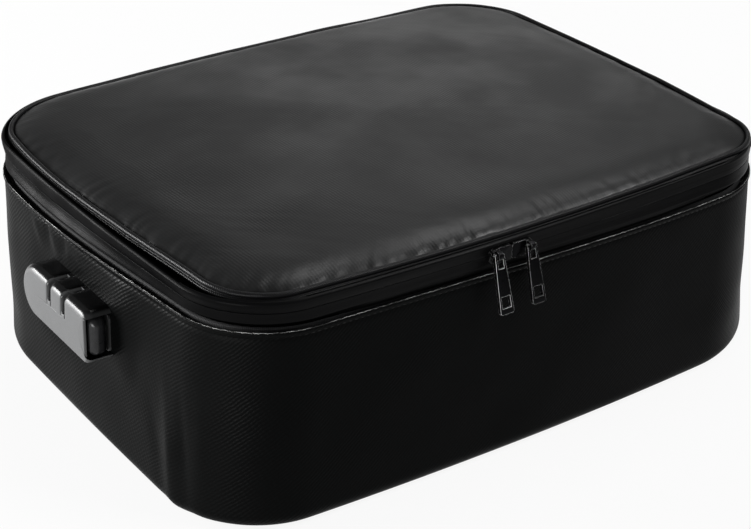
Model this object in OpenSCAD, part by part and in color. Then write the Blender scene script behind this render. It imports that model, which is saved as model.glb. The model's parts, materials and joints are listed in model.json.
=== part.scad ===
// Fire-resistant document bag: a stiff cloth case with a crowned lid, a hidden zip with two sliders,
// and a combination lock on the left wall that takes both zip pulls.
// Millimetres. The floor is z = 0, the front is -Y, and the lock is on the -X wall.

/* [Case] */
// Width of the mouth, left to right
case_w = 378; // [320:2:450]
// Depth of the mouth, front to back
case_d = 286; // [250:2:350]
// Corner radius of the mouth
corner_r = 66; // [50:1:80]
// Height at which the cloth wall ends and the zip band begins
mouth_z = 104; // [96:1:150]
// How far the wall's foot stands out past the mouth
wall_swell = 2; // [1:0.5:4]
// Radius of the soft bottom edge
bottom_r = 12; // [11:0.5:18]

/* [Layers] */
// Thickness of the coated outer cloth
cloth_t = 1.5; // [1:0.1:2]
// Thickness of the insulating felt in the case
felt_t = 4; // [2:0.5:6]
// Thickness of the lining
liner_t = 1; // [0.6:0.1:1.5]
// Thickness of the stiff board in the base
board_t = 2; // [1:0.5:4]
// Thickness of the binding tape that caps the inner edges
bind_t = 0.6; // [0.4:0.1:1]
// Free space left between two layers
layer_gap = 0.2; // [0.1:0.05:0.3]

/* [Lid] */
// Rise of the lid's middle above its edge
crown = 7.5; // [4:0.5:16]
// Radius of the piping bead
pipe_r = 2; // [1.5:0.1:2.5]
// Distance from the mouth's edge in to the middle of the piping
pipe_in = 9; // [7.5:0.5:12]
// Thickness of the felt in the lid
lid_felt_t = 2.2; // [1:0.1:3]

/* [Zip] */
// Height of the lower half of the zip band, from the wall's edge to the zip line
band_low_h = 10; // [9:0.5:16]
// Height of the upper half, from the zip line to its top fold
fold_h = 6.8; // [6.5:0.1:9]
// How far the band stands out past the mouth
band_out = 1.2; // [1:0.1:1.8]
// Thickness of the coated zip tape
tape_t = 1.2; // [0.8:0.1:1.3]
// Radius of one half of the zip coil
coil_r = 1.3; // [1:0.1:1.4]
// Space between the two halves of the tape
zip_gap = 1; // [0.8:0.1:1.4]
// How far the two sliders' meeting point lies left of the middle
meet_left = 21.5; // [0:0.5:40]
// Length of a slider
slider_len = 13; // [11:0.5:16]
// Width of a slider across the zip
slider_w = 8.4; // [7.6:0.1:9]
// Running clearance round the zip, the sliders and the pulls
run_gap = 0.3; // [0.2:0.05:0.35]

/* [Pulls] */
// Length of a pull from the middle of its eye bar to its tip
pull_len = 29.6; // [27:0.2:36]
// Width of a pull at its eye
pull_top_w = 5.6; // [5.4:0.1:6.5]
// Width of a pull at its tip
pull_tip_w = 8.2; // [7.6:0.1:8.6]
// Thickness of a pull
pull_t = 2; // [1.6:0.1:2.2]
// Radius of the round bar across the eye
bar_r = 0.9; // [0.7:0.05:1]
// Angle at which the pulls stand out from the wall
pull_swing = 17; // [0:1:30]

/* [Lock] */
// Length of the lock along the wall
lock_len = 72; // [70:0.5:80]
// Height of the lock
lock_h = 25; // [24.5:0.1:26]
// How far the lock stands out from the wall
lock_out = 14; // [13.8:0.1:16]
// Wall thickness of the lock's housing
lock_wall = 1.6; // [1.2:0.1:1.8]
// How far the lock's middle lies in front of the case's middle
lock_front = 6; // [-20:1:20]
// Height of the lock's middle above the floor
lock_z = 69.5; // [40:0.5:70]
// Spacing of the two slots
slot_pitch = 15.6; // [15:0.1:17]
// Travel of the release button
press = 4.5; // [4.2:0.1:4.8]
// Radius of a number wheel
dial_r = 5.2; // [4.8:0.1:5.3]
// Width of a number wheel
dial_w = 8; // [6:0.1:8.6]
// Spacing of the number wheels
dial_pitch = 13.2; // [12.4:0.1:13.4]
// Radius of the shaft that carries the number wheels
shaft_r = 1.25; // [1:0.05:1.4]
// Radius of a fixing screw
screw_r = 1.4; // [1.2:0.1:1.5]

/* [Hidden] */

$fn = 64;

// The mouth's corner centres stand this far from the middle
hx = case_w / 2 - corner_r;
hy = case_d / 2 - corner_r;

// Height of the zip line, where the two tapes meet
zip_z = mouth_z + band_low_h;

// The cloth's hem at the mouth stands in by this much, so that the band overhangs it
mouth_in = 0.4;
// The wall cloth turns under the base by this much before its seam
turn_under = 8;
// The zip tape's tail is sewn behind the cloth over this height
tail_h = 7;
tail_z = mouth_z - tail_h;
// The binding's inner leg covers this height of the lining
bind_h = 9;

// Depths of the layers below the outer face of the wall
felt_d = cloth_t + layer_gap;
liner_d = felt_d + felt_t + layer_gap;
bind_d = felt_d + tape_t + layer_gap;
wall_total = liner_d + liner_t;
board_z = felt_d + felt_t + layer_gap;
liner_z = board_z + board_t + layer_gap;

// Levels in the lid, from the zip line up
lid_low = zip_z + zip_gap / 2 + layer_gap;
lid_felt_z = lid_low + liner_t + layer_gap;
flange_z = lid_felt_z + lid_felt_t + layer_gap;
flange_top = flange_z + tape_t;
pipe_z = flange_top + 0.4 + pipe_r;
fold_z = zip_z + fold_h;
lip_t = 0.7;
lip_in = 4.5;
panel_z = pipe_z + 0.2;

// Sections carried round the rounded mouth; a point is [out from the mouth's edge, height]
module round_sweep(back = true) {
    for (k = [0:3]) {
        rotate([0, 0, 90 * k])
            translate([k % 2 == 0 ? hx : hy, k % 2 == 0 ? hy : hx, 0])
                rotate_extrude(angle = 90)
                    translate([corner_r, 0])
                        children();
        if (back || k != 1)
            side_run(k, 2 * (k % 2 == 0 ? hy : hx))
                children();
    }
}

// One straight run of a section: side 0 is the right, 1 the back, 2 the left and 3 the front
module side_run(k, length) {
    rotate([0, 0, 90 * k])
        translate([k % 2 == 0 ? hx : hy, length / 2, 0])
            rotate([90, 0, 0])
                linear_extrude(length)
                    translate([corner_r, 0])
                        children();
}

// A flat layer with the mouth's outline, its edge at "edge" out from the mouth
module round_slab(edge, low, high) {
    round_sweep()
        polygon([[-corner_r, low], [edge, low], [edge, high], [-corner_r, high]]);
    translate([-hx, -hy, low])
        cube([2 * hx, 2 * hy, high - low]);
}

// The wall leans in evenly from its foot to the mouth; the lock is fixed square to it
wall_slope = (wall_swell + mouth_in) / (mouth_z - bottom_r);
wall_tilt = atan(wall_slope);
function lean(z) = wall_swell - wall_slope * (z - bottom_r);

// The quarter turn from the base up into the wall, at a depth "d" in the wall and "f" in the floor
function edge_turn(d, f, steps = 6) = [for (i = [0:steps])
    [wall_swell - bottom_r + (bottom_r - d) * sin(90 * i / steps),
     bottom_r - (bottom_r - f) * cos(90 * i / steps)]];

// The wall's line at a depth "d", from the base up to the height "top"
function wall_line(d, f, top) = concat(edge_turn(d, f), [[lean(top) - d, top]]);

function flip(points) = [for (i = [len(points) - 1:-1:0]) points[i]];

// Holes through the wall for the lock's screws
module screw_holes() {
    lock_bench()
        for (p = screw_spots)
            translate([p.x, p.y, -wall_total - 2])
                cylinder(r = screw_r + 0.4, h = wall_total + 4);
}

module case_wall() {
    seam_u = wall_swell - bottom_r - turn_under;
    color("#1b1c1e")
        difference() {
            round_sweep()
                polygon(concat(
                    [[seam_u, 0]],
                    wall_line(0, 0, mouth_z),
                    flip(wall_line(cloth_t, cloth_t, mouth_z)),
                    [[seam_u, cloth_t]]));
            screw_holes();
        }
}

// The base cloth lies inside the turned-under wall cloth, seam to seam
module case_bottom() {
    color("#1a1a1c")
        round_slab(wall_swell - bottom_r - turn_under - layer_gap, 0, cloth_t);
}

// The felt is pressed thin above the zip tape's tail, where the mouth is sewn
module case_insulation() {
    inner_d = felt_d + felt_t;
    thin_d = bind_d + bind_t + layer_gap;
    top = mouth_z - bind_t - layer_gap;
    color("#b9b7b0") {
        difference() {
            round_sweep()
                polygon(concat(
                    [[-corner_r, felt_d]],
                    wall_line(felt_d, felt_d, tail_z - layer_gap),
                    [[lean(tail_z - layer_gap) - thin_d, tail_z - layer_gap],
                     [lean(top) - thin_d, top]],
                    flip(wall_line(inner_d, inner_d, top)),
                    [[-corner_r, inner_d]]));
            screw_holes();
        }
        translate([-hx, -hy, felt_d])
            cube([2 * hx, 2 * hy, felt_t]);
    }
}

module base_board() {
    color("#3a3a3c")
        round_slab(wall_swell - bottom_r, board_z, board_z + board_t);
}

module case_liner() {
    top = mouth_z - bind_t - layer_gap;
    color("#8f9194") {
        difference() {
            round_sweep()
                polygon(concat(
                    [[-corner_r, liner_z]],
                    wall_line(liner_d, liner_z, top),
                    flip(wall_line(liner_d + liner_t, liner_z + liner_t, top)),
                    [[-corner_r, liner_z + liner_t]]));
            screw_holes();
        }
        translate([-hx, -hy, liner_z])
            cube([2 * hx, 2 * hy, liner_t]);
    }
}

// A folded tape over the raw top edges of felt and lining
module case_binding() {
    outer = bind_d;
    inner = wall_total + layer_gap + bind_t;
    cap = mouth_z - bind_t;
    leg_z = mouth_z - bind_h;
    color("#151516")
        round_sweep()
            polygon([
                [lean(tail_z) - outer, tail_z],
                [lean(cap) - outer, cap],
                [lean(mouth_z) - outer, mouth_z],
                [lean(mouth_z) - inner, mouth_z],
                [lean(cap) - inner, cap],
                [lean(leg_z) - inner, leg_z],
                [lean(leg_z) - inner + bind_t, leg_z],
                [lean(cap) - inner + bind_t, cap],
                [lean(cap) - outer - bind_t, cap],
                [lean(tail_z) - outer - bind_t, tail_z]
            ]);
}

// The band's outer line below the zip: widest at the zip line, drawn in to the seam
band_drop = 0.8;
function low_band(d, steps = 5) = [for (i = [0:steps])
    let (z = mouth_z + layer_gap + (zip_z - zip_gap / 2 - mouth_z - layer_gap) * i / steps,
         t = (zip_z - z) / band_low_h)
    [band_out - band_drop * t * t - d, z]];

module low_band_section() {
    foot = mouth_z + layer_gap;
    polygon(concat(
        [[lean(tail_z) - felt_d - tape_t, tail_z],
         [lean(tail_z) - felt_d, tail_z],
         [lean(mouth_z) - felt_d, foot]],
        low_band(0),
        flip([for (p = low_band(tape_t)) if (p.y > foot + tape_t) p]),
        [[lean(mouth_z) - felt_d - tape_t, foot + tape_t]]));
}

// The band's line above the zip: a quarter ellipse up to the fold, then down into the seam
fold_in = 4.2;
// The lid's felt ends this far from the mouth's edge, behind the zip coils
felt_edge = band_out - fold_in - 3;
// How far the seam's flange passes the middle of the piping
flange_past = 2.2;
function high_band(d, low, steps = 7) = [for (i = [0:steps])
    let (a0 = asin(low / (fold_h - d)), a = a0 + (90 - a0) * i / steps)
    [band_out - fold_in + (fold_in - d) * cos(a), zip_z + (fold_h - d) * sin(a)]];

module high_band_section() {
    start = zip_gap / 2;
    flange_u = -pipe_in - flange_past;
    dip_u = band_out - fold_in - 2.2;
    polygon(concat(
        high_band(0, start),
        [[dip_u + 0.8, fold_z - 0.4],
         [dip_u, flange_top],
         [flange_u, flange_top],
         [flange_u, flange_z],
         [dip_u + 0.5, flange_z]],
        flip(high_band(tape_t, start))));
}

module case_zip_tape() {
    color("#0d0e0f")
        round_sweep(back = false)
            low_band_section();
}

module lid_zip_tape() {
    color("#0d0e0f")
        round_sweep(back = false)
            high_band_section();
}

// The cloth hinge takes the zip's place along the straight back run. It folds on the zip line, so
// each side of the fold is a leaf of its own here.
module hinge_cloth_case() {
    color("#141415")
        side_run(1, 2 * (hx - run_gap))
            low_band_section();
}

module hinge_cloth_lid() {
    color("#141415")
        side_run(1, 2 * (hx - run_gap))
            high_band_section();
}

// The coil beads lie behind the tapes, one on each side of the zip line
coil_in = coil_r + 0.4;
coil_off = zip_gap / 2 + coil_r + 0.1;
coil_u = band_out - tape_t - coil_in;

module coil_bead(z) {
    round_sweep(back = false)
        translate([coil_u, z])
            circle(r = coil_r, $fn = 32);
}

module case_zip_coil() {
    color("#202123")
        coil_bead(zip_z - coil_off);
}

module lid_zip_coil() {
    color("#202123")
        coil_bead(zip_z + coil_off);
}

// Moulded stops close the zip's two ends, beside the cloth hinge
stop_len = 4;
stop_back = 0.3;
module zip_stops(z) {
    for (s = [-1, 1])
        translate([s * (hx - run_gap - stop_len / 2), hy + corner_r + coil_u - stop_back, z])
            cube([stop_len, 2 * coil_r, 2 * coil_r], center = true);
}

module case_zip_stops() {
    color("#161617")
        zip_stops(zip_z - coil_off);
}

module lid_zip_stops() {
    color("#161617")
        zip_stops(zip_z + coil_off);
}

// Points of the crowned lid: rings of the lid's outline, drawn in towards the middle
SECTORS = 64;
RINGS = [0.2, 0.4, 0.58, 0.72, 0.83, 0.91, 0.965, 1];
function crown_at(s) = crown * (1 - pow(s, 3));
function corner_at(k) = [(k % 4 == 0 || k % 4 == 3 ? hx : -hx), (k % 4 < 2 ? hy : -hy)];
function on_arc(k, a, e) = corner_at(k) + (corner_r + e) * [cos(a), sin(a)];
function outline_at(i, e) =
    let (per = SECTORS / 4, k = floor(i / per), j = i - k * per, half = per / 2)
    j <= half ? on_arc(k, 90 * (k + j / half), e)
              : let (t = (j - half) / half, a = 90 * (k + 1))
                on_arc(k, a, e) * (1 - t) + on_arc(k + 1, a, e) * t;
function ring_points(e, s, z) = [for (i = [0:SECTORS - 1])
    let (p = outline_at(i, e)) [p.x * s, p.y * s, z]];

// A crowned sheet or pad: tops and unders hold one height for the middle and one for each ring
module crowned(e, tops, unders) {
    n = SECTORS;
    m = len(RINGS);
    flat_list = function (rings) [for (r = rings) for (p = r) p];
    top_pts = flat_list([for (j = [0:m - 1]) ring_points(e, RINGS[j], tops[j + 1])]);
    low_pts = flat_list([for (j = [0:m - 1]) ring_points(e, RINGS[j], unders[j + 1])]);
    c_top = 2 * n * m;
    c_low = c_top + 1;
    top = function (j, i) j * n + i % n;
    low = function (j, i) n * m + j * n + i % n;
    polyhedron(
        concat(top_pts, low_pts, [[0, 0, tops[0]], [0, 0, unders[0]]]),
        concat(
            [for (i = [0:n - 1]) [c_top, top(0, i + 1), top(0, i)]],
            [for (i = [0:n - 1]) [c_low, low(0, i), low(0, i + 1)]],
            [for (j = [0:m - 2]) for (i = [0:n - 1]) [top(j, i), top(j, i + 1), top(j + 1, i)]],
            [for (j = [0:m - 2]) for (i = [0:n - 1]) [top(j, i + 1), top(j + 1, i + 1), top(j + 1, i)]],
            [for (j = [0:m - 2]) for (i = [0:n - 1]) [low(j, i), low(j + 1, i), low(j, i + 1)]],
            [for (j = [0:m - 2]) for (i = [0:n - 1]) [low(j, i + 1), low(j + 1, i), low(j + 1, i + 1)]],
            [for (i = [0:n - 1]) [top(m - 1, i), top(m - 1, i + 1), low(m - 1, i)]],
            [for (i = [0:n - 1]) [top(m - 1, i + 1), low(m - 1, i + 1), low(m - 1, i)]]),
        convexity = 4);
}

lid_stations = concat([0], RINGS);
lid_tops = [for (s = lid_stations) panel_z + cloth_t + crown_at(s)];

module lid_panel() {
    color("#1d1e20")
        crowned(-pipe_in - pipe_r - run_gap, lid_tops, [for (z = lid_tops) z - cloth_t]);
}

module lid_padding() {
    color("#d6d2c4")
        crowned(-pipe_in - pipe_r - lip_in - 1,
                [for (z = lid_tops) z - cloth_t - layer_gap],
                [for (z = lid_tops) flange_z]);
}

module lid_insulation() {
    color("#b9b7b0")
        round_slab(felt_edge, lid_felt_z, lid_felt_z + lid_felt_t);
}

// The lid's lining is turned up round the edge of the felt
module lid_liner() {
    edge = felt_edge + layer_gap + liner_t;
    color("#8f9194") {
        round_slab(edge, lid_low, lid_low + liner_t);
        round_sweep()
            polygon([
                [edge - liner_t, lid_low + liner_t / 2],
                [edge, lid_low + liner_t / 2],
                [edge, flange_z - layer_gap],
                [edge - liner_t, flange_z - layer_gap]
            ]);
    }
}

// A covered cord with the lip that is caught in the seam under the panel's edge
module lid_piping() {
    lip_z = pipe_z - pipe_r + 0.15;
    color("#101112") {
        round_sweep()
            translate([-pipe_in, pipe_z])
                circle(r = pipe_r, $fn = 32);
        round_sweep()
            polygon([
                [-pipe_in - pipe_r - lip_in, lip_z],
                [-pipe_in, lip_z],
                [-pipe_in, lip_z + lip_t],
                [-pipe_in - pipe_r - lip_in, lip_z + lip_t]
            ]);
    }
}

// The slider's front plate runs outside the band and its back plate behind the coils
front_y = case_d / 2 + band_out + run_gap;
back_y = case_d / 2 + coil_u - coil_r - run_gap;
plate_t = 1.6;
back_t = 1.2;
web_len = 4;
web_t = zip_gap - 2 * run_gap;
// The back plate turns in under the case's coil with a flange of this thickness
flange_t = 0.7;
flange_out = 1.9;
coil_floor = zip_z - coil_off - coil_r - run_gap;
back_low = coil_floor - flange_t;
back_high = zip_z + slider_w / 2 - 0.5;
// The pull's eye stands out from the front plate on a small bridge near the slider's outer end
eye_up = 1.4;
eye_x = slider_len - 2.9;
eye_wall = 1.2;
eye_hole = bar_r + run_gap;
eye_r = eye_hole + eye_wall;
eye_y = front_y + plate_t + eye_hole + 0.9;
slot_clear = 0.4;
bridge_w = 2.6;
bridge_in = front_y + 0.4;
eye_slot_w = bridge_w + 2 * slot_clear;

// The outline of a slider's plate, from the mouth end at 0 to the tail
function plate_outline(w) = [
    [0.15, -w / 2 + 1], [1.2, -w / 2], [slider_len * 0.55, -w / 2],
    [slider_len - 1, -w / 2 + 0.7], [slider_len, -w / 2 + 1.7],
    [slider_len, w / 2 - 1.7], [slider_len - 1, w / 2 - 0.7],
    [slider_len * 0.55, w / 2], [1.2, w / 2], [0.15, w / 2 - 1]];

// A slider on the front run; "side" is -1 for the left one and 1 for the right one
module slider(side) {
    color("#1f2022")
        translate([-meet_left, 0, 0])
            mirror([side < 0 ? 1 : 0, 0, 0])
                difference() {
                    union() {
                        translate([0, -front_y, zip_z])
                            rotate([90, 0, 0])
                                linear_extrude(plate_t)
                                    polygon(plate_outline(slider_w));
                        translate([0, -back_y + back_t, (back_low + back_high) / 2])
                            rotate([90, 0, 0])
                                linear_extrude(back_t)
                                    polygon(plate_outline(back_high - back_low));
                        translate([1, -front_y - 0.2, zip_z - web_t / 2])
                            cube([web_len, front_y - back_y + 0.4, web_t]);
                        translate([1.2, -back_y - flange_out, back_low])
                            cube([slider_len - 2.4, flange_out + 0.1, flange_t]);
                        translate([eye_x - bridge_w / 2, -eye_y, zip_z + eye_up])
                            rotate([0, 90, 0])
                                cylinder(r = eye_r, h = bridge_w, $fn = 48);
                        translate([eye_x - bridge_w / 2, 0, zip_z + eye_up])
                            rotate([90, 0, 90])
                                linear_extrude(bridge_w)
                                    polygon([
                                        [-eye_y, 0.2 - eye_r], [-bridge_in, -eye_r - 0.5],
                                        [-bridge_in, eye_r], [-eye_y, eye_r - 0.2]
                                    ]);
                    }
                    translate([eye_x - bridge_w, -eye_y, zip_z + eye_up])
                        rotate([0, 90, 0])
                            cylinder(r = eye_hole, h = 2 * bridge_w, $fn = 48);
                }
}

module slider_left() {
    slider(-1);
}

module slider_right() {
    slider(1);
}

// The tip's cut-out, which the lock's finger enters
hole_low = 3;
hole_h = 6;
hole_w = 5.4;
eye_slot_h = 6.6;
// Cut corners of a pull: small ones at the eye, wide ones at the tip
nip = 0.6;
tip_cut = 1.2;

// A flat tapered pull, hung from the middle of its eye bar
module pull(side) {
    top = bar_r + 0.1;
    color("#2a2b2e")
        translate([-meet_left + side * eye_x, -eye_y, zip_z + eye_up])
            rotate([-pull_swing, 0, 0]) {
                difference() {
                    translate([0, pull_t / 2, 0])
                        rotate([90, 0, 0])
                            linear_extrude(pull_t)
                                polygon(concat(
                                    [[-pull_top_w / 2, top - nip], [-pull_top_w / 2 + nip, top]],
                                    [[pull_top_w / 2 - nip, top], [pull_top_w / 2, top - nip]],
                                    [for (a = [0:30:90])
                                        [pull_tip_w / 2 - tip_cut * (1 - cos(a)),
                                         tip_cut * (1 - sin(a)) - pull_len]],
                                    [for (a = [90:-30:0])
                                        [tip_cut * (1 - cos(a)) - pull_tip_w / 2,
                                         tip_cut * (1 - sin(a)) - pull_len]]
                                ));
                    translate([-eye_slot_w / 2, -pull_t, -eye_slot_h])
                        cube([eye_slot_w, 2 * pull_t, eye_slot_h + 2 * top]);
                    translate([-hole_w / 2, -pull_t, -pull_len + hole_low])
                        cube([hole_w, 2 * pull_t, hole_h]);
                }
                rotate([0, 90, 0])
                    cylinder(r = bar_r, h = eye_slot_w + 1, center = true, $fn = 32);
            }
}

module pull_left() {
    pull(-1);
}

module pull_right() {
    pull(1);
}

// The lock is drawn on a bench: x runs along it to the front, y is up and z is out from the wall
module lock_bench() {
    translate([-case_w / 2 - lean(lock_z), -lock_front, lock_z])
        rotate([0, wall_tilt, 0])
            rotate([90, 0, -90])
                children();
}

// The housing stands this far off the cloth
seat_gap = 0.1;
// Its front corners and the soft edge round its face
front_corner = 4;
edge_r = 1.8;
// Its rear end is a half circle about this point
rear_x = -lock_len / 2 + lock_h / 2;
// Inside of the housing's face
face_in = lock_out - lock_wall;
// Two slots take the pulls; each has a cheek on both sides
slot_mid = 0.9;
slot_x = [slot_mid - slot_pitch / 2, slot_mid + slot_pitch / 2];
slot_w = pull_t + 0.4;
slot_low = 3.3;
cheek_t = 1.2;
slot_back = lock_out - pull_tip_w - 3.2;
// The moulded base plate, and the level at which the works begin above it
base_t = 1.2;
mech_low = seat_gap + base_t + 0.2;
// The number wheels hang in the lower half and show below the lock's edge
dial_play = 0.4;
dial_mid = -3.1;
dial_show = 1.4;
dial_x = [for (i = [-1:1]) dial_mid + i * dial_pitch];
dial_y = -lock_h / 2 + dial_r - dial_show;
dial_out = (mech_low + face_in) / 2;
shaft_play = 0.08;
// Four screws come through the wall into bosses near both ends of the housing
screw_end = 14;
screw_side = 6;
screw_spots = [for (x = [rear_x - 3, lock_len / 2 - screw_end])
    for (s = [-1, 1]) [x, s * (lock_h / 2 - screw_side)]];
screw_grip = 9;
boss_r = 3;

// A section [out, height] carried round the lock's outline
module lock_sweep() {
    translate([rear_x, 0, 0])
        rotate([0, 0, 90])
            rotate_extrude(angle = 180)
                translate([lock_h / 2, 0])
                    children();
    for (s = [0, 1])
        mirror([0, s, 0]) {
            translate([lock_len / 2 - front_corner, lock_h / 2 - front_corner, 0])
                rotate_extrude(angle = 90)
                    translate([front_corner, 0])
                        children();
            translate([rear_x, lock_h / 2, 0])
                rotate([90, 0, 90])
                    linear_extrude(lock_len / 2 - front_corner - rear_x)
                        children();
        }
    translate([lock_len / 2, lock_h / 2 - front_corner, 0])
        rotate([90, 0, 0])
            linear_extrude(lock_h - 2 * front_corner)
                children();
}

// The lock's outline drawn in by "d"
module lock_outline(d) {
    r = lock_h / 2 - d;
    f = front_corner - min(d, front_corner - 0.5);
    fx = lock_len / 2 - d - f;
    fy = lock_h / 2 - d - f;
    polygon(concat(
        [for (i = [0:12]) [rear_x + r * cos(90 + 15 * i), r * sin(90 + 15 * i)]],
        [for (i = [0:4]) [fx + f * cos(-90 + 22.5 * i), -fy + f * sin(-90 + 22.5 * i)]],
        [for (i = [0:4]) [fx + f * cos(22.5 * i), fy + f * sin(22.5 * i)]]));
}

button_h = 17;
button_low = 2.2;
button_high = lock_out - 3;

module lock_housing() {
    color("#2b2c2e")
        lock_bench()
            difference() {
                union() {
                    lock_sweep()
                        polygon(concat(
                            [[-lock_wall, seat_gap], [0, seat_gap]],
                            [for (i = [0:5]) [-edge_r * (1 - cos(18 * i)), lock_out - edge_r * (1 - sin(18 * i))]],
                            [[-front_corner + 0.5, lock_out], [-front_corner + 0.5, face_in], [-lock_wall, face_in]]));
                    translate([0, 0, face_in])
                        linear_extrude(lock_wall)
                            lock_outline(edge_r + 0.4);
                    for (x = slot_x)
                        translate([x - slot_w / 2 - cheek_t, slot_low - cheek_t, slot_back - 1])
                            cube([slot_w + 2 * cheek_t, lock_h / 2 - slot_low + cheek_t - 0.5,
                                  face_in - slot_back + 1.5]);
                    dial_ribs();
                    for (p = screw_spots)
                        translate([p.x, p.y, mech_low])
                            cylinder(r = boss_r, h = face_in - mech_low + 0.5, $fn = 32);
                    translate([spring_seat - lock_wall, -4, mech_low])
                        cube([lock_wall, 8, face_in - mech_low + 0.5]);
                }
                for (x = slot_x) {
                    translate([x - slot_w / 2, slot_low, slot_back])
                        cube([slot_w, lock_h, lock_out]);
                    translate([x - slot_w, finger_y - 0.5, finger_z - 0.5])
                        cube([2 * slot_w, finger_h + 1, finger_d + 1]);
                }
                for (x = dial_x)
                    translate([x - dial_w / 2 - dial_play, -lock_h, mech_low])
                        cube([dial_w + 2 * dial_play, lock_h - lock_wall, face_in - mech_low - 0.1]);
                translate([shaft_lo - 0.5, dial_y, dial_out])
                    rotate([0, 90, 0])
                        cylinder(r = shaft_r + shaft_play / 2, h = shaft_hi - shaft_lo + 1, $fn = 32);
                for (p = screw_spots)
                    translate([p.x, p.y, mech_low - 1])
                        cylinder(r = screw_r + 0.05, h = face_in - mech_low, $fn = 24);
                translate([lock_len / 2 - lock_wall - 1, -button_h / 2 - 0.4, button_low - 0.4])
                    cube([lock_wall + 2, button_h + 0.8, face_in - button_low + 0.2]);
            }
}

// Ribs between the wheels and at both ends hold the shaft
rib_t = dial_pitch - dial_w - 2 * dial_play;
end_rib = 1.6;
rib_top = dial_y + shaft_r + 1.6;
shaft_lo = dial_x[0] - dial_w / 2 - dial_play - end_rib;
shaft_hi = dial_x[2] + dial_w / 2 + dial_play + end_rib;

// One rib from its start and thickness along the shaft
module dial_rib(start, thick) {
    translate([start, -lock_h / 2 + 0.5, mech_low])
        cube([thick, rib_top + lock_h / 2 - 0.5, face_in - mech_low + 0.5]);
}

module dial_ribs() {
    dial_rib(shaft_lo, end_rib);
    dial_rib(shaft_hi - end_rib, end_rib);
    for (i = [0, 1])
        dial_rib(dial_x[i] + dial_w / 2 + dial_play, rib_t);
}

// A moulded plate closes the housing's back
module lock_base_plate() {
    color("#232425")
        lock_bench()
            translate([0, 0, seat_gap])
                difference() {
                    linear_extrude(base_t)
                        lock_outline(lock_wall + 0.3);
                    for (p = screw_spots)
                        translate([p.x, p.y, -1])
                            cylinder(r = screw_r + 0.4, h = base_t + 2, $fn = 24);
                }
}

// A steel plate inside the case spreads the screws' pull over the wall
plate_back_t = 1.5;
back_plate_z = -wall_total - layer_gap - plate_back_t;
module lock_back_plate() {
    margin = 5;
    lo = screw_spots[0] - [margin, margin];
    hi = screw_spots[3] + [margin, margin];
    color("#8d9094")
        lock_bench()
            translate([0, 0, back_plate_z])
                difference() {
                    linear_extrude(plate_back_t)
                        polygon([
                            [lo.x + 2, lo.y], [hi.x - 2, lo.y], [hi.x, lo.y + 2], [hi.x, hi.y - 2],
                            [hi.x - 2, hi.y], [lo.x + 2, hi.y], [lo.x, hi.y - 2], [lo.x, lo.y + 2]
                        ]);
                    for (p = screw_spots)
                        translate([p.x, p.y, -1])
                            cylinder(r = screw_r + 0.2, h = plate_back_t + 2, $fn = 24);
                }
}

module lock_screws() {
    head_h = 1.6;
    color("#a7abb0")
        lock_bench()
            for (p = screw_spots)
                translate([p.x, p.y, back_plate_z - head_h])
                    difference() {
                        union() {
                            cylinder(r = 2 * screw_r, h = head_h, $fn = 32);
                            cylinder(r = screw_r, h = head_h + wall_total + screw_grip, $fn = 24);
                        }
                        for (a = [0, 90])
                            rotate([0, 0, a])
                                translate([-screw_r, -0.3, -1])
                                    cube([2 * screw_r, 0.6, 1.9]);
                    }
}

module dial_shaft() {
    color("#9a9da1")
        lock_bench()
            translate([shaft_lo, dial_y, dial_out])
                rotate([0, 90, 0])
                    cylinder(r = shaft_r, h = shaft_hi - shaft_lo, $fn = 32);
}

// Each wheel turns with its sleeve, which has one tooth in the wheel's notch
sleeve_r = shaft_r + 1.5;
tooth_h = 0.9;
tooth_w = 1.2;

module on_dial(i) {
    lock_bench()
        translate([dial_x[i], dial_y, dial_out])
            rotate([0, 90, 0])
                children();
}

module dial_wheel(i) {
    color("#3a3b3d")
        on_dial(i)
            difference() {
                cylinder(r = dial_r, h = dial_w, center = true);
                cylinder(r = sleeve_r + 0.1, h = 2 * dial_w, center = true);
                translate([0, -tooth_w / 2 - 0.1, -dial_w])
                    cube([sleeve_r + tooth_h + 0.1, tooth_w + 0.2, 2 * dial_w]);
                for (k = [0:9])
                    rotate([0, 0, 36 * k + 18])
                        translate([dial_r + 0.35, 0, 0])
                            cylinder(r = 0.8, h = 2 * dial_w, center = true, $fn = 16);
            }
}

module dial_sleeve(i) {
    color("#6f7276")
        on_dial(i)
            difference() {
                union() {
                    cylinder(r = sleeve_r, h = dial_w, center = true, $fn = 32);
                    translate([1, -tooth_w / 2, -dial_w / 2])
                        cube([sleeve_r + tooth_h - 1, tooth_w, dial_w]);
                }
                cylinder(r = shaft_r + shaft_play, h = 2 * dial_w, center = true, $fn = 32);
            }
}

module dial_wheel_1() {
    dial_wheel(0);
}

module dial_wheel_2() {
    dial_wheel(1);
}

module dial_wheel_3() {
    dial_wheel(2);
}

module dial_sleeve_1() {
    dial_sleeve(0);
}

module dial_sleeve_2() {
    dial_sleeve(1);
}

module dial_sleeve_3() {
    dial_sleeve(2);
}

// The latch slide: a bar under the slots, with a finger that crosses each slot
finger_h = 2.4;
finger_d = 2.8;
finger_y = slot_low + hole_low + (hole_h - finger_h) / 2;
finger_z = slot_back + 0.5 + (pull_tip_w - finger_d) / 2;
slide_low = -1.4;
slide_high = slot_low - cheek_t - 0.5;
arm_t = 2.6;
arm_gap = 0.5;
slide_nose = 10;
stem_start = slot_x[1] + slot_w / 2 + cheek_t + slide_nose;
slide_rear = slot_x[0] - slot_w / 2 - cheek_t - arm_gap - arm_t - 3;

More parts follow.
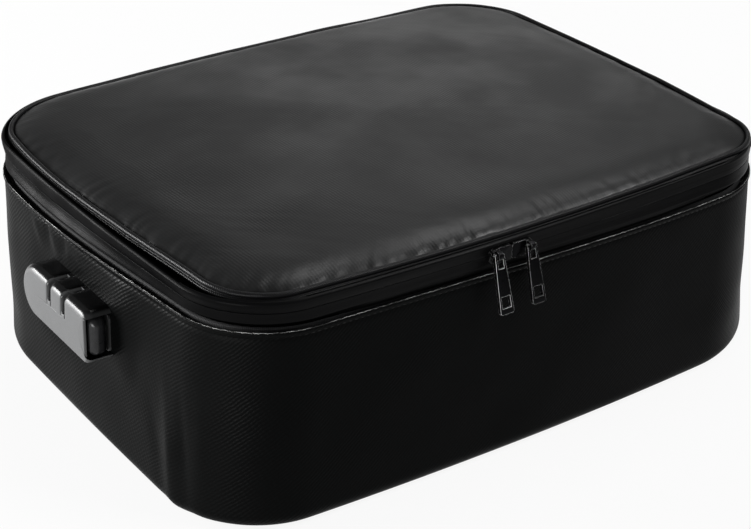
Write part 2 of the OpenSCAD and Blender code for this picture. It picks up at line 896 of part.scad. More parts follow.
module latch_slide() {
    color("#7c8086")
        lock_bench() {
            translate([slide_rear, slide_low, finger_z - 0.4])
                cube([stem_start - slide_rear, slide_high - slide_low, finger_d + 0.8]);
            for (x = slot_x) {
                translate([x - slot_w / 2 - cheek_t - arm_gap - arm_t, slide_high - 0.4, finger_z])
                    cube([arm_t, finger_y + finger_h - slide_high + 0.4, finger_d]);
                translate([x - slot_w / 2 - cheek_t - arm_gap - 0.5, finger_y, finger_z])
                    cube([slot_w + cheek_t + arm_gap + 1.2, finger_h, finger_d]);
            }
        }
}

// The button fills the lock's front end: a crowned pad, a flange behind the wall and a stem
module release_button() {
    pad_rise = 1.2;
    flange_x = lock_len / 2 - lock_wall - 0.3;
    pad_w = button_high - button_low;
    mid = (button_high + button_low) / 2;
    pad_r = (pad_w * pad_w / 4 + pad_rise * pad_rise) / (2 * pad_rise);
    color("#1a1b1d")
        lock_bench() {
            intersection() {
                translate([flange_x - 0.5, -button_h / 2, button_low])
                    cube([lock_wall + 3, button_h, pad_w]);
                translate([lock_len / 2 + pad_rise - 0.4 - pad_r, 0, mid])
                    rotate([90, 0, 0])
                        cylinder(r = pad_r, h = lock_h, center = true, $fn = 96);
            }
            translate([flange_x - 1.5, -button_h / 2 - 1.1, button_low - 0.3])
                cube([1.5, button_h + 2.2, face_in - button_low]);
            translate([stem_start, slide_low, finger_z - 0.4])
                cube([flange_x - 1 - stem_start, slide_high - slide_low, finger_d + 0.8]);
        }
}

// A coil spring behind the slide pushes the button out again
spring_r = 1.7;
wire_r = 0.3;
spring_turns = 6;
spring_seat = slide_rear - 10;
SPRING_SIDES = 6;
SPRING_STEPS = 12;

module button_spring() {
    length = slide_rear - spring_seat - 2 * (wire_r + 0.1);
    n = spring_turns * SPRING_STEPS;
    ring = function (i)
        let (a = 360 * i / SPRING_STEPS, x = spring_seat + wire_r + 0.1 + length * i / n)
        [for (j = [0:SPRING_SIDES - 1])
            let (b = 360 * j / SPRING_SIDES, r = spring_r + wire_r * cos(b))
            [x + wire_r * sin(b), r * cos(a), r * sin(a)]];
    pts = [for (i = [0:n]) for (p = ring(i)) p];
    at = function (i, j) i * SPRING_SIDES + j % SPRING_SIDES;
    color("#b8bcc0")
        lock_bench()
            translate([0, (slide_low + slide_high) / 2, finger_z + finger_d / 2])
                polyhedron(pts, concat(
                    [[for (j = [0:SPRING_SIDES - 1]) at(0, j)]],
                    [[for (j = [SPRING_SIDES - 1:-1:0]) at(n, j)]],
                    [for (i = [0:n - 1]) for (j = [0:SPRING_SIDES - 1])
                        [at(i, j), at(i + 1, j), at(i, j + 1)]],
                    [for (i = [0:n - 1]) for (j = [0:SPRING_SIDES - 1])
                        [at(i, j + 1), at(i + 1, j), at(i + 1, j + 1)]]),
                    convexity = 10);
}

case_wall();
case_bottom();
case_insulation();
base_board();
case_liner();
case_binding();
case_zip_tape();
case_zip_coil();
case_zip_stops();
hinge_cloth_case();
lid_panel();
lid_padding();
lid_insulation();
lid_liner();
lid_piping();
lid_zip_tape();
lid_zip_coil();
lid_zip_stops();
hinge_cloth_lid();
slider_left();
slider_right();
pull_left();
pull_right();
lock_housing();
lock_base_plate();
lock_back_plate();
lock_screws();
dial_shaft();
dial_wheel_1();
dial_wheel_2();
dial_wheel_3();
dial_sleeve_1();
dial_sleeve_2();
dial_sleeve_3();
release_button();
latch_slide();
button_spring();
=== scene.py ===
import json
import bmesh
import bpy
import numpy as np
from mathutils import Matrix, Vector


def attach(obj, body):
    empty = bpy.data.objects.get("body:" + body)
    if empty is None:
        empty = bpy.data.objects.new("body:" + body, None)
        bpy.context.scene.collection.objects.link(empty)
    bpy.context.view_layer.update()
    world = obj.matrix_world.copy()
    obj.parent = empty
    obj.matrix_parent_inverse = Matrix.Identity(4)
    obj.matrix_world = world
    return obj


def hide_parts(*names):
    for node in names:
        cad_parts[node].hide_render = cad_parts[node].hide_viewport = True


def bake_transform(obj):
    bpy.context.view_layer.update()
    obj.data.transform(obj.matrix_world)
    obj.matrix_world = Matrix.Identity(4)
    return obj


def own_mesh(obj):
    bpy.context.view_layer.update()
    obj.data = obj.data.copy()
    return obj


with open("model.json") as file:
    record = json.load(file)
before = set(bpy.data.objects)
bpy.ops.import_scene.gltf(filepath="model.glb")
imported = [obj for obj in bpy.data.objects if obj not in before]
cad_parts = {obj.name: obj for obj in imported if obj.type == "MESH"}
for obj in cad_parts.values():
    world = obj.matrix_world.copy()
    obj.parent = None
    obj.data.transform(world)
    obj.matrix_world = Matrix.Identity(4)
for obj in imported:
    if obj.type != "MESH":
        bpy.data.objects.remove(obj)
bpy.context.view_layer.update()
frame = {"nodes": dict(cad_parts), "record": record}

# Where it is seen from. The camera stands in front, to the left and above, and leans a little to
# one side. All lengths in this file are in metres, as in the frame.
def placed(name, data):
    """A new object in the scene."""
    made = bpy.data.objects.new(name, data)
    bpy.context.scene.collection.objects.link(made)
    return made


turn, rise, roll = np.radians((-34.92, 28.50, 0.76))
reach, aim = 0.97601, np.array((-0.03985, -0.05534, 0.07094))
back = np.array((np.sin(turn) * np.cos(rise), -np.cos(turn) * np.cos(rise), np.sin(rise)))
right = np.array((np.cos(turn), np.sin(turn), 0.0))
above = np.cross(back, right)
lean_right = right * np.cos(roll) + above * np.sin(roll)
lean_up = above * np.cos(roll) - right * np.sin(roll)
eye = placed("eye", bpy.data.cameras.new("eye"))
focal, picture_width, sensor = 1829.89, 751, 36
eye.data.lens = focal / picture_width * sensor
eye.data.sensor_width = sensor
eye.data.clip_end = 30
axes = np.stack((lean_right, lean_up, back), axis=1)
eye.matrix_world = Matrix([[*row, place] for row, place in zip(axes, aim + back * reach)] + [[0, 0, 0, 1]])
bpy.context.scene.camera = eye


class Dye:
    """A value or colour on its way through a finish. Signs between dyes add Math nodes."""

    def __init__(self, tree, socket=None):
        self.tree, self.socket = tree, socket

    def node(self, kind, settings={}, sockets={}, out=0):
        """Any other node: its type, its settings, and the values or links of its sockets."""
        made = self.tree.nodes.new("ShaderNode" + kind)
        for name, value in settings.items():
            setattr(made, name, value)
        for name, value in sockets.items():
            if isinstance(value, Dye):
                self.tree.links.new(value.socket, made.inputs[name])
            else:
                made.inputs[name].default_value = value
        return Dye(self.tree, made.outputs[out])

    def sign(self, operation, *values):
        return self.node("Math", {"operation": operation}, dict(enumerate(values)))

    def __add__(self, other):
        return self.sign("ADD", self, other)

    def __sub__(self, other):
        return self.sign("SUBTRACT", self, other)

    def __rsub__(self, other):
        return self.sign("SUBTRACT", other, self)

    def __mul__(self, other):
        return self.sign("MULTIPLY", self, other)

    __radd__, __rmul__ = __add__, __mul__

    def wave(self, length=1.0):
        """Up and down between -1 and 1, once over the length."""
        return self.sign("SINE", self * (2 * np.pi / length))

    def between(self, low, high, to_low=0.0, to_high=1.0):
        """Carries low..high over to to_low..to_high with soft ends, and holds outside them."""
        return self.node("MapRange", {"interpolation_type": "SMOOTHSTEP"},
                         {0: self, 1: low, 2: high, 3: to_low, 4: to_high})

    def mix(self, low, high):
        """The colour low where this is 0, and high where it is 1."""
        return self.node("Mix", {"data_type": "RGBA"}, {0: self, 6: (*low, 1), 7: (*high, 1)}, out=2)

    def noise(self, scale, detail=2.0, rough=0.5, stretch=None):
        """Soft clouds on this place, at so many to the metre."""
        place = self
        if stretch:
            place = self.node("Mapping", {}, {"Vector": self, "Scale": stretch})
        return self.node("TexNoise", {}, {"Vector": place, "Scale": scale, "Detail": detail, "Roughness": rough})

    def axis(self, number):
        """One of the three numbers of this place."""
        return self.node("SeparateXYZ", {}, {0: self}, out=number)


def finish(name, colour, roughness, place="Object", **shader):
    """A new material. Returns it with the place that its patterns read and its shader node.
    Constants are set on the shader's own sockets."""
    made = bpy.data.materials.new(name)
    made.use_nodes = True
    made.diffuse_color = (*colour, 1)
    surface = made.node_tree.nodes["Principled BSDF"]
    surface.inputs["Base Color"].default_value = (*colour, 1)
    surface.inputs["Roughness"].default_value = roughness
    for socket, value in shader.items():
        surface.inputs[socket.replace("_", " ")].default_value = value
    start = Dye(made.node_tree)
    if place == "Object":
        where = start.node("TexCoord", out=3)
    else:
        where = start.node("UVMap", {"uv_map": place})
    return made, where, surface


def feed(where, surface, bump=None, height=0.0001, **sockets):
    """Joins worked-out dyes to the shader, and a height to its Normal through one Bump node."""
    for socket, value in sockets.items():
        where.tree.links.new(value.socket, surface.inputs[socket.replace("_", " ")])
    if bump is not None:
        lifted = where.node("Bump", {}, {"Strength": 1.0, "Distance": height, "Height": bump})
        where.tree.links.new(lifted.socket, surface.inputs["Normal"])


# The studio: a wide pale floor and five soft lamps. The floor shows white to the camera and to
# gloss, and keeps a little of the case's shadow.
bpy.ops.mesh.primitive_plane_add(size=12)
floor = bpy.context.object
floor.name = "floor"
floor.data.transform(Matrix.Translation((0, 0, -0.0002)))
paint, where, surface = finish("floor_paint", (0.55, 0.55, 0.55), 0.9)
tree = paint.node_tree
white = where.node("Emission", {}, {"Color": (1, 1, 1, 1), "Strength": 1.0})
seen = where.node("LightPath", out="Is Camera Ray") + where.node("LightPath", out="Is Glossy Ray") \
    + where.node("LightPath", out="Is Transmission Ray")
both = where.node("MixShader", {}, {0: seen * 0.90, 1: Dye(tree, surface.outputs[0]), 2: white})
tree.links.new(both.socket, tree.nodes["Material Output"].inputs["Surface"])
floor.data.materials.append(paint)

room = bpy.data.worlds.new("room")
bpy.context.scene.world = room
room.use_nodes = True
sky = room.node_tree
glow = Dye(sky)
seen = glow.node("LightPath", out="Is Camera Ray") + glow.node("LightPath", out="Is Transmission Ray")
both = glow.node("MixShader", {}, {0: seen,
                                   1: glow.node("Background", {}, {"Color": (1, 1, 1, 1), "Strength": 0.27}),
                                   2: glow.node("Background", {}, {"Color": (1, 1, 1, 1), "Strength": 1.0})})
sky.links.new(both.socket, sky.nodes["World Output"].inputs["Surface"])

for name, place, size, power in (("lamp_back", (1.35, 1.75, 0.92), (1.0, 0.6), 2.3),
                                 ("lamp_left", (-1.35, 1.15, 0.42), (0.9, 0.5), 72),
                                 ("lamp_side", (-1.45, -0.70, 0.24), (0.5, 0.3), 18),
                                 ("lamp_over", (0.85, 0.35, 1.75), (0.9, 0.8), 13),
                                 ("lamp_front", (0.95, -0.85, 1.45), (0.8, 0.25), 23)):
    lamp = placed(name, bpy.data.lights.new(name, "AREA"))
    lamp.data.shape = "RECTANGLE"
    lamp.data.size, lamp.data.size_y = size
    lamp.data.energy = power
    facing = (Vector((0, 0, 0.08)) - Vector(place)).to_track_quat("-Z", "Y")
    lamp.matrix_world = Matrix.Translation(place) @ facing.to_matrix().to_4x4()
bpy.context.scene.view_settings.view_transform = "Standard"


# The wall. One length of coated glass-fibre twill goes round the case, is folded over at the
# mouth and turned under the base. It is drawn flat where the lock is screwed to it.
def outline(half_x, half_y, radii, bows, aft=0.0, slew=0.0):
    """The case's line seen from above, once round from the right end of its back: straight sides
    and quarter circles, and each side then bows out by bow * (1 - (place along it / half)^2). The
    left bow is larger towards the back by the share aft, and the front moves by slew * (t - t^3), out
    on its right half and in on its left. Radii: back right, back left, front left, front right.
    Bows: right, back, left, front."""
    corner, half = np.array(((1, 1), (-1, 1), (-1, -1), (1, -1))), np.array((half_x, half_y))
    bend = np.linspace(0, np.pi / 2, 33)
    ways = [np.stack((np.cos(bend + k * np.pi / 2), np.sin(bend + k * np.pi / 2)), axis=1) for k in range(4)]
    arcs = [corner[k] * (half - radii[k]) + radii[k] * ways[k] for k in range(4)]
    runs = [arcs[k][-1] + (arcs[(k + 1) % 4][0] - arcs[k][-1]) * np.linspace(0, 1, (81, 57)[k % 2])[1:-1, None]
            for k in range(4)]
    x, y = np.concatenate([part for pair in zip(arcs, runs) for part in pair]).T
    over_x, over_y = (np.clip(1 - (place / size) ** 2, 0, 1) for place, size in ((x, half_x), (y, half_y)))
    return np.stack((x + np.where(x > 0, bows[0], -bows[2] * (1 + aft * y / half_y)) * over_y,
                     y + np.where(y > 0, bows[1], -bows[3] - slew * x / half_x) * over_x), axis=1)


def outward(line):
    """Unit normals of closed lines, from the difference of each point's neighbours turned right."""
    along = np.roll(line, -1, axis=-2) - np.roll(line, 1, axis=-2)
    facing = np.stack((along[..., 1], -along[..., 0]), axis=-1)
    return facing / np.linalg.norm(facing, axis=-1, keepdims=True)


def level(flat, height=0.0):
    """Points or directions seen from above, given a height each."""
    height = np.broadcast_to(np.asarray(height, float)[..., None], flat.shape[:-1] + (1,))
    return np.concatenate((flat, height), axis=-1)


def carried(line, section):
    """A section of (out, height) carried along a line, or each of its points along a line of its own."""
    return level(line + outward(line) * section[:, 0, None, None], section[:, 1, None])


def cloth_mesh(name, grid, close=(False, True), caps="", plan=False):
    """A grid of points as quads, joined end to end over rows or columns where close says so. Caps
    names the edges that one flat face closes: low and high rows, left and right columns. Its UV
    map is in metres: along the columns, then along the rows, or for a flat piece its plan."""
    rows, columns = grid.shape[:2]
    i, j = np.meshgrid(np.arange(rows - 1 + close[0]), np.arange(columns - 1 + close[1]), indexing="ij")
    step = [np.stack(ends, axis=-1).reshape(-1, 4) for ends in ((i, i, i + 1, i + 1), (j, j + 1, j + 1, j))]
    number = np.arange(rows * columns).reshape(rows, columns)
    ends = [face.tolist() for word, face in (("low", number[0][::-1]), ("high", number[-1]),
                                             ("left", number[::-1, 0]), ("right", number[:, -1])) if word in caps]
    made = bpy.data.meshes.new(name)
    made.from_pydata(grid.reshape(-1, 3).tolist(), [], (step[0] % rows * columns + step[1] % columns).tolist() + ends)
    along = np.linalg.norm(np.diff(np.concatenate((grid, grid[:, :1]), axis=1), axis=1), axis=2).mean(axis=0)
    across = np.linalg.norm(np.diff(np.concatenate((grid, grid[:1]), axis=0), axis=0), axis=2).mean(axis=1)
    u, v = np.append(0, np.cumsum(along)), np.append(0, np.cumsum(across))
    cut = np.stack((u[step[1]], v[step[0]]), axis=-1).reshape(-1, 2)
    corners = np.concatenate([grid.reshape(-1, 3)[face, :2] for face in ends] or [np.zeros((0, 2))])
    if plan:
        cut = grid[step[0] % rows, step[1] % columns, :2].reshape(-1, 2)
    made.uv_layers.new(name="cut").data.foreach_set("uv", np.concatenate((cut, corners)).ravel())
    made.polygons.foreach_set("use_smooth", np.arange(len(made.polygons)) < len(step[0]))
    made.update()
    return placed(name, made)


def drift(place, seed, waves=10, longest=0.14, shortest=0.03):
    """Soft uneven ground between -1 and 1: a sum of sines along many directions in space, each
    weaker as its wave gets shorter. The same seed gives the same ground."""
    chance = np.random.default_rng(seed)
    length = np.geomspace(longest, shortest, waves)
    way, start = chance.normal(size=(waves, 3)), chance.uniform(0, 2 * np.pi, waves)
    way *= (2 * np.pi / length / np.linalg.norm(way, axis=1))[:, None]
    return (np.sin(place @ way.T + start) * length).sum(axis=-1) / length.sum() * 1.6


def twill(name, colour, roughness, way, depth, **shader):
    """Coated glass-fibre twill: ridges where u * way[0] + v * way[1], in turns to the metre, is
    whole. Each is broken a little where its threads dive, and the coat over them is smoother in
    some clouds than in others."""
    made, cut, surface = finish(name, colour, roughness, "cut", **shader)
    loose = cut.noise(150, 2) - 0.5
    u, v = cut.axis(0), cut.axis(1)
    ridge = (u * way[0] + v * way[1] + loose * 0.8).wave()
    dive = (u * -way[1] * 0.7 + v * way[0] * 0.7 + loose).wave()
    cloud = cut.noise(13, 3, 0.55)
    held = cut.noise(34, 3, 0.6).between(0.30, 0.68, 0.35, 1.0)
    weave = (ridge * held * 0.5 + 0.5) * (dive * 0.20 + 0.80)
    fine = cut.noise(1100, 2)
    # The colour follows shade: the weave's ridges are painted lighter and its hollows darker, as painted light, with
    # random tone from the fine noise and the clouds.
    shade = weave * 0.55 + fine * 0.3 + cloud * 0.3
    tone = shade.mix([part * 0.3 for part in colour], [part * 1.9 for part in colour])
    slick = cloud.between(0.32, 0.68, roughness - 0.08, roughness + 0.08) - weave * 0.06
    feed(cut, surface, weave * 0.9 + fine * 0.2, depth, Base_Color=tone, Roughness=slick)
    return made


foot_line = outline(0.1915, 0.1453, (0.072, 0.0848, 0.0508, 0.075), (0, 0.002, 0.0021, 0.0080))
mouth_line = outline(0.1762, 0.1393, (0.0520, 0.0646, 0.0454, 0.0518), (0.0005, 0.0040, 0.0119, 0.0063), 0.69, 0.0062)
mouth, edge, cloth = 0.104, 0.008, 0.0013
lock_wall, lock_side, lock_high, lock_lean = -0.1895, -0.006, 0.0695, 0.02609


def walled(section, depth, ripple=0.0):
    """A section of (out, height) carried round the case: the foot's and the mouth's lines are mixed
    by height and moved along their normals. Where there is ripple, the cloth also has soft ground
    and short creases on its left side. Near the lock the wall is drawn to the lock's plane, each
    layer at its depth behind it."""
    section = np.asarray(section, float)
    lift = np.clip((section[:, 1] - edge) / (mouth - edge), 0, 1)[:, None, None]
    line = foot_line * (1 - lift) + mouth_line * lift
    wall, facing, high = carried(line, section), level(outward(line)), section[:, 1, None]
    soft = np.clip(high / 0.03, 0, 1) * np.clip((mouth - 0.005 - high) / 0.03, 0, 1)
    left = wall[..., 0] < -0.15
    creases = sum(deep * np.exp(-((wall[..., 1] - place - (high - tall) * slant) / wide) ** 2
                                - ((high - tall) / length) ** 2)
                  for place, tall, wide, length, deep, slant in (
        (0.027, 0.091, 0.0020, 0.011, -0.0017, 0.25), (0.019, 0.090, 0.0024, 0.010, 0.0015, 0.3),
        (0.011, 0.091, 0.0021, 0.010, -0.0016, -0.1), (0.036, 0.088, 0.0030, 0.013, 0.0013, 0.5),
        (-0.004, 0.091, 0.003, 0.008, 0.0007, -0.3), (-0.096, 0.030, 0.004, 0.030, 0.0012, 0.25),
        (-0.106, 0.034, 0.003, 0.028, -0.0011, 0.2), (-0.086, 0.024, 0.005, 0.020, -0.0008, 0.35),
        (-0.116, 0.040, 0.004, 0.026, 0.0008, 0.1)))
    wall = wall + facing * (ripple * drift(wall, 5) * soft + (ripple > 0) * creases * left)[..., None]
    plane = lock_wall + (high - lock_high) * lock_lean + np.asarray(depth)[:, None]
    away = np.hypot(np.clip(np.abs(wall[..., 1] - lock_side) - 0.036, 0, None),
                    np.clip(np.abs(high - lock_high) - 0.0125, 0, None))
    drawn = np.clip(1 - away / 0.022, 0, 1)
    drawn = drawn * drawn * (3 - 2 * drawn) * left
    wall[..., 0] += (plane - wall[..., 0]) * drawn
    return wall


def fitted(piece, material, body, slot, *nodes):
    """Gives a piece its material, the body it rides on, and the solids it stands for. The slot is not used."""
    piece.data.materials.append(material)
    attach(piece, body)
    if nodes:
        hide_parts(*nodes)


def rounded(radius, out, up):
    """The round of a layer's foot: a quarter circle about (out, up), from its lowest point outwards."""
    bend = np.linspace(0, np.pi / 2, 10)
    return np.stack((radius * np.sin(bend) + out, up - radius * np.cos(bend)), axis=1)


outer = np.concatenate((
    np.stack((np.linspace(-0.019, -edge, 4)[:-1], np.zeros(3)), axis=1),
    rounded(edge, -edge, edge),
    np.stack((np.zeros(60), np.linspace(edge, mouth - 0.0046, 61)[1:]), axis=1),
    ((-0.0003, mouth - 0.0036), (-0.0004, mouth - 0.0031), (-0.0002, mouth - 0.0026), (0.0004, mouth - 0.0017),
     (0.0008, mouth - 0.0010), (0.0008, mouth - 0.0003), (0.0004, mouth + 0.0002), (-0.0004, mouth + 0.0003))))
inner = np.stack((outer[:, 0] - cloth, outer[:, 1]), axis=1)[::-1]
inner = inner[(inner[:, 1] > edge) & (inner[:, 1] < mouth - 0.001)]
inner = np.concatenate((((-cloth - 0.0004, mouth - 0.0007),), inner, rounded(edge - cloth, -edge, edge)[::-1],
                        ((-0.019, cloth),)))
behind = [0] * len(outer) + [cloth] * len(inner)
case_cloth = cloth_mesh("case_cloth", walled(np.concatenate((outer, inner)), behind, 0.0009), close=(True, True))
wall_twill = twill("wall_twill", (0.0012, 0.0013, 0.0013), 0.44, (360, -434), 0.00013, Specular_IOR_Level=0.026,
                   Sheen_Weight=0.002)
fitted(case_cloth, wall_twill, "case", "shell_cloth", "case_wall")


# The base cloth. The same twill lies flat under the case, its edge caught under the wall's turned
# foot.
def poured(name, line, rings):
    """A flat piece that fills a closed line: rings at (inset, height) from the line, and a flat face
    inside the first and the last."""
    return cloth_mesh(name, carried(line, np.array(rings) * (-1, 1)), caps="low high", plan=True)


base_rings = ((0.040, 0.0), (0.0200, 0.0), (0.0194, 0.0002), (0.0194, 0.0012), (0.0200, 0.0014), (0.040, 0.0014))
base_cloth = poured("base_cloth", foot_line, base_rings)
fitted(base_cloth, wall_twill, "case", "shell_cloth", "case_bottom")


# The felt. Needled mineral felt, 4 mm thick, lines the walls and the floor and keeps the heat out.
def flecked(name, colour, roughness, flecks, height, low, high, slick=None, **shader):
    """A finish in fine flecks, a noise of this scale, detail and roughness. They carry its colour from
    low to high, lift it by the height and, where slick is given, set its roughness between two."""
    made, where, surface = finish(name, colour, roughness, **shader)
    fleck = where.noise(*flecks)
    feed(where, surface, fleck, height, Base_Color=fleck.mix(low, high),
         **({"Roughness": fleck.between(0.3, 0.7, *slick)} if slick else {}))
    return made


felt_out = [(-0.040, 0.0017), *rounded(0.0065, -0.0082, 0.0082), (-0.0017, 0.050), (-0.0017, 0.0955),
            (-0.0046, 0.0962), (-0.0050, 0.1025), (-0.0057, 0.1026), (-0.0057, 0.0955), (-0.0057, 0.050),
            *rounded(0.0028, -0.0085, 0.0085)[::-1], (-0.040, 0.0057)]
felt_depth = np.where(np.arange(len(felt_out)) < 13, 0.0017, 0.0057)
case_felt = cloth_mesh("case_felt", walled(felt_out, felt_depth), caps="low high")
felt_finish = flecked("felt", (0.50, 0.49, 0.46), 0.95, (900, 4, 0.7), 0.0006, (0.36, 0.35, 0.32), (0.62, 0.61, 0.57))
fitted(case_felt, felt_finish, "case", "felt", "case_insulation")


# The base board. Grey pressed board stiffens the floor, under the lining.
def dressed(node, material):
    """A CAD node keeps its shape and takes a material in its own slot."""
    frame["nodes"][node].data.materials.clear()
    frame["nodes"][node].data.materials.append(material)


dressed("base_board", flecked("grey_board", (0.20, 0.19, 0.17), 0.9, (1300, 3, 0.6), 0.00012,
                              (0.13, 0.125, 0.115), (0.27, 0.26, 0.24)))

# The lining. A bag of aluminium-coated glass cloth, sewn to the case's shape and open at the top.
lining_out = [(-0.040, 0.0081), *rounded(0.0045, -0.0104, 0.0126), (-0.0059, 0.03), (-0.0059, 0.055),
              (-0.0059, 0.08), (-0.0060, 0.1024), (-0.0064, 0.1029), (-0.0068, 0.1024), (-0.0069, 0.08),
              (-0.0069, 0.055), (-0.0069, 0.03), *rounded(0.0035, -0.0104, 0.0126)[::-1], (-0.040, 0.0091)]
lining_depth = np.where(np.arange(len(lining_out)) < 16, 0.0059, 0.0069)
case_lining = cloth_mesh("case_lining", walled(lining_out, lining_depth), caps="low high")
foil, where, surface = finish("foil_cloth", (0.42, 0.43, 0.44), 0.40, Metallic=0.55)
warp = (where.axis(0) + where.axis(1)).wave(0.0016)
weft = (where.axis(0) - where.axis(1) + where.axis(2) * 1.4).wave(0.0016)
basket = warp * weft * 0.5 + 0.5
rub = where.noise(30, 3, 0.6)
feed(where, surface, basket + rub * 0.8, 0.00014, Base_Color=basket.mix((0.33, 0.34, 0.35), (0.50, 0.51, 0.52)),
     Roughness=rub.between(0.3, 0.7, 0.32, 0.52))
fitted(case_lining, foil, "case", "lining", "case_liner")

# The binding. A grosgrain tape is folded over the raw edges of felt and lining and sewn through.
bind_section = ((-0.0041, 0.0975), (-0.0041, 0.1036), (-0.0045, 0.1041), (-0.0074, 0.1041), (-0.0079, 0.1036),
                (-0.0080, 0.0955), (-0.0077, 0.0950), (-0.0074, 0.0955), (-0.0073, 0.1031), (-0.0069, 0.1034),
                (-0.0050, 0.1034), (-0.0047, 0.1031), (-0.0046, 0.0975))
binding = cloth_mesh("binding", walled(bind_section, [0.0042] * 4 + [0.0074] * 6 + [0.0048] * 3), close=(True, True))
grosgrain, cut, surface = finish("grosgrain", (0.012, 0.012, 0.013), 0.7, "cut", Specular_IOR_Level=0.25)
rib = cut.axis(0).wave(0.0009) * 0.5 + 0.5
feed(cut, surface, rib + cut.noise(800, 2) * 0.4, 0.0001,
     Base_Color=rib.mix((0.006, 0.006, 0.0065), (0.022, 0.022, 0.023)))
fitted(binding, grosgrain, "case", "binding", "case_binding")


# The stitches. A lockstitch of thick thread holds the folded hem, close under the zip band. The
# glass cloth is cut raw at the fold, so a pale frayed edge shows along it.
def beads(name, places, ways, ups, length, width, sides=6, rings=5):
    """Small rounded sticks: at each place a row of circles along its way, from t = -1 to 1, each of
    the radius sqrt(1 - t^4) * width / 2. All sticks share one mesh."""
    t = np.linspace(-1, 1, rings)
    around = np.linspace(0, 2 * np.pi, sides, endpoint=False)
    side = np.cross(ways, ups)
    length, width = np.broadcast_to(length, len(places)), np.broadcast_to(width, len(places))
    radius = width[:, None, None] * np.sqrt(np.clip(1 - t ** 4, 0.06, 1))[:, None] / 2
    points = (places[:, None, None] + ways[:, None, None] * (t[None] * length[:, None] / 2)[:, :, None, None]
              + ups[:, None, None] * (radius * np.cos(around))[..., None]
              + side[:, None, None] * (radius * np.sin(around))[..., None])
    base = (np.arange(len(places)) * rings * sides)[:, None, None]
    i, j = np.meshgrid(np.arange(rings - 1), np.arange(sides), indexing="ij")
    quads = np.stack((i * sides + j, i * sides + (j + 1) % sides, (i + 1) * sides + (j + 1) % sides,
                      (i + 1) * sides + j), axis=-1)
    faces = (base + quads.reshape(1, -1, 4)).reshape(-1, 4)
    cap = np.arange(sides)
    ends = np.concatenate(((base[:, 0] + cap[::-1]), (base[:, 0] + (rings - 1) * sides + cap)))
    made = bpy.data.meshes.new(name)
    made.from_pydata(points.reshape(-1, 3).tolist(), [], faces.tolist() + ends.tolist())
    made.polygons.foreach_set("use_smooth", np.ones(len(made.polygons), bool))
    made.update()
    return placed(name, made)


def measured(line):
    """The length along a line, up to each of its points."""
    return np.append(0, np.cumsum(np.linalg.norm(np.diff(line, axis=0), axis=1)))


def points_at(line, run, at):
    """Points of a measured line at some lengths along it."""
    return np.stack([np.interp(at, run, line[:, k]) for k in (0, 1)], axis=-1)


def spaced(line, pitch, first=0.0, last=None):
    """Lengths, places, ways and normals at an even pitch along a closed line."""
    ring = np.concatenate((line, line[:1]))
    run = measured(ring)
    last = run[-1] if last is None else last
    at = first + pitch * (np.arange(int((last - first) / pitch)) + 0.5)
    place, ahead = (points_at(ring, run, (at + step) % run[-1]) for step in (0, 1e-4))
    way = (ahead - place) / np.linalg.norm(ahead - place, axis=1, keepdims=True)
    return at, place, way, np.stack((way[:, 1], -way[:, 0]), axis=1)


at, place, way, facing = spaced(mouth_line, 0.0034)
hem_stitches = beads("hem_stitches", level(place - facing * 0.00025, mouth - 0.0026),
                     level(way, 0.06 * np.sin(at * 900)), level(facing), 0.0026, 0.00075)
thread = flecked("thread", (0.010, 0.010, 0.010), 0.5, (2600, 2), 0.0001, (0.008, 0.008, 0.008), (0.030, 0.030, 0.030),
                 Specular_IOR_Level=0.2)
fitted(hem_stitches, thread, "case", "binding")
at, place, way, facing = spaced(mouth_line, 0.0011)
chance = np.random.default_rng(8)
stray = level(way) + chance.normal(size=(len(at), 3)) * (0.5, 0.5, 0.35) * 0.5
frayed = beads("frayed_edge", level(place + facing * 0.0005, mouth + 0.0003 + chance.uniform(-0.0001, 0.0002, len(at))),
               stray / np.linalg.norm(stray, axis=1, keepdims=True), level(0 * facing, 1.0),
               chance.uniform(0.0008, 0.0017, len(at)), chance.uniform(0.00020, 0.00042, len(at)), sides=4, rings=3)
fray, where, surface = finish("glass_fibre", (0.22, 0.22, 0.21), 0.6, Specular_IOR_Level=0.3)
tuft = where.noise(90, 3, 0.7)
feed(where, surface, Base_Color=tuft.between(0.38, 0.62).mix((0.03, 0.03, 0.03), (0.42, 0.42, 0.41)))
fitted(frayed, fray, "case", "binding")


# The zip band. A smooth coated tape on each side of the zip hides its coils. The lower half is
# sewn behind the wall's hem, and the upper half folds over into the seam under the lid's panel.
# Along its left side a dark matt shader is mixed over the coat in patches, as painted shade.
low_line = mouth_line - outward(mouth_line) * 0.0009
roll_line = outline(0.1780, 0.1362, (0.0520, 0.0492, 0.0414, 0.0488), (-0.0028, 0.0062, 0.0060, 0.0080), 0.43)
band_line = (low_line + roll_line) / 2
zip_line, fold, tape = 0.114, 0.1208, 0.0011
low_out = np.array(((-0.0035, mouth - 0.0055), (-0.0031, mouth - 0.001), (-0.0022, mouth + 0.0003),
                    (-0.0010, mouth + 0.0006), (-0.0003, mouth + 0.0014), (0.0001, mouth + 0.0026),
                    (0.0002, mouth + 0.0029), (0.00025, mouth + 0.0035), (0.0003, mouth + 0.0044),
                    (0.00035, mouth + 0.0050), (0.0004, mouth + 0.0058), (0.0004, mouth + 0.0070),
                    (0.0004, mouth + 0.0085), (0.0004, zip_line - 0.0003), (0.00035, zip_line - 0.0001),
                    (0.0002, zip_line - 0.00002)))
low_section = np.concatenate((low_out, (low_out - (tape, 0))[::-1][1:]))
turned = np.linspace(0.10, np.pi / 2, 9)
roll_out, roll_in = (np.stack((-0.0015 + radius * np.cos(turned), fold - 0.0018 + radius * np.sin(turned)), axis=1)
                     for radius in (0.0018, 0.0009))
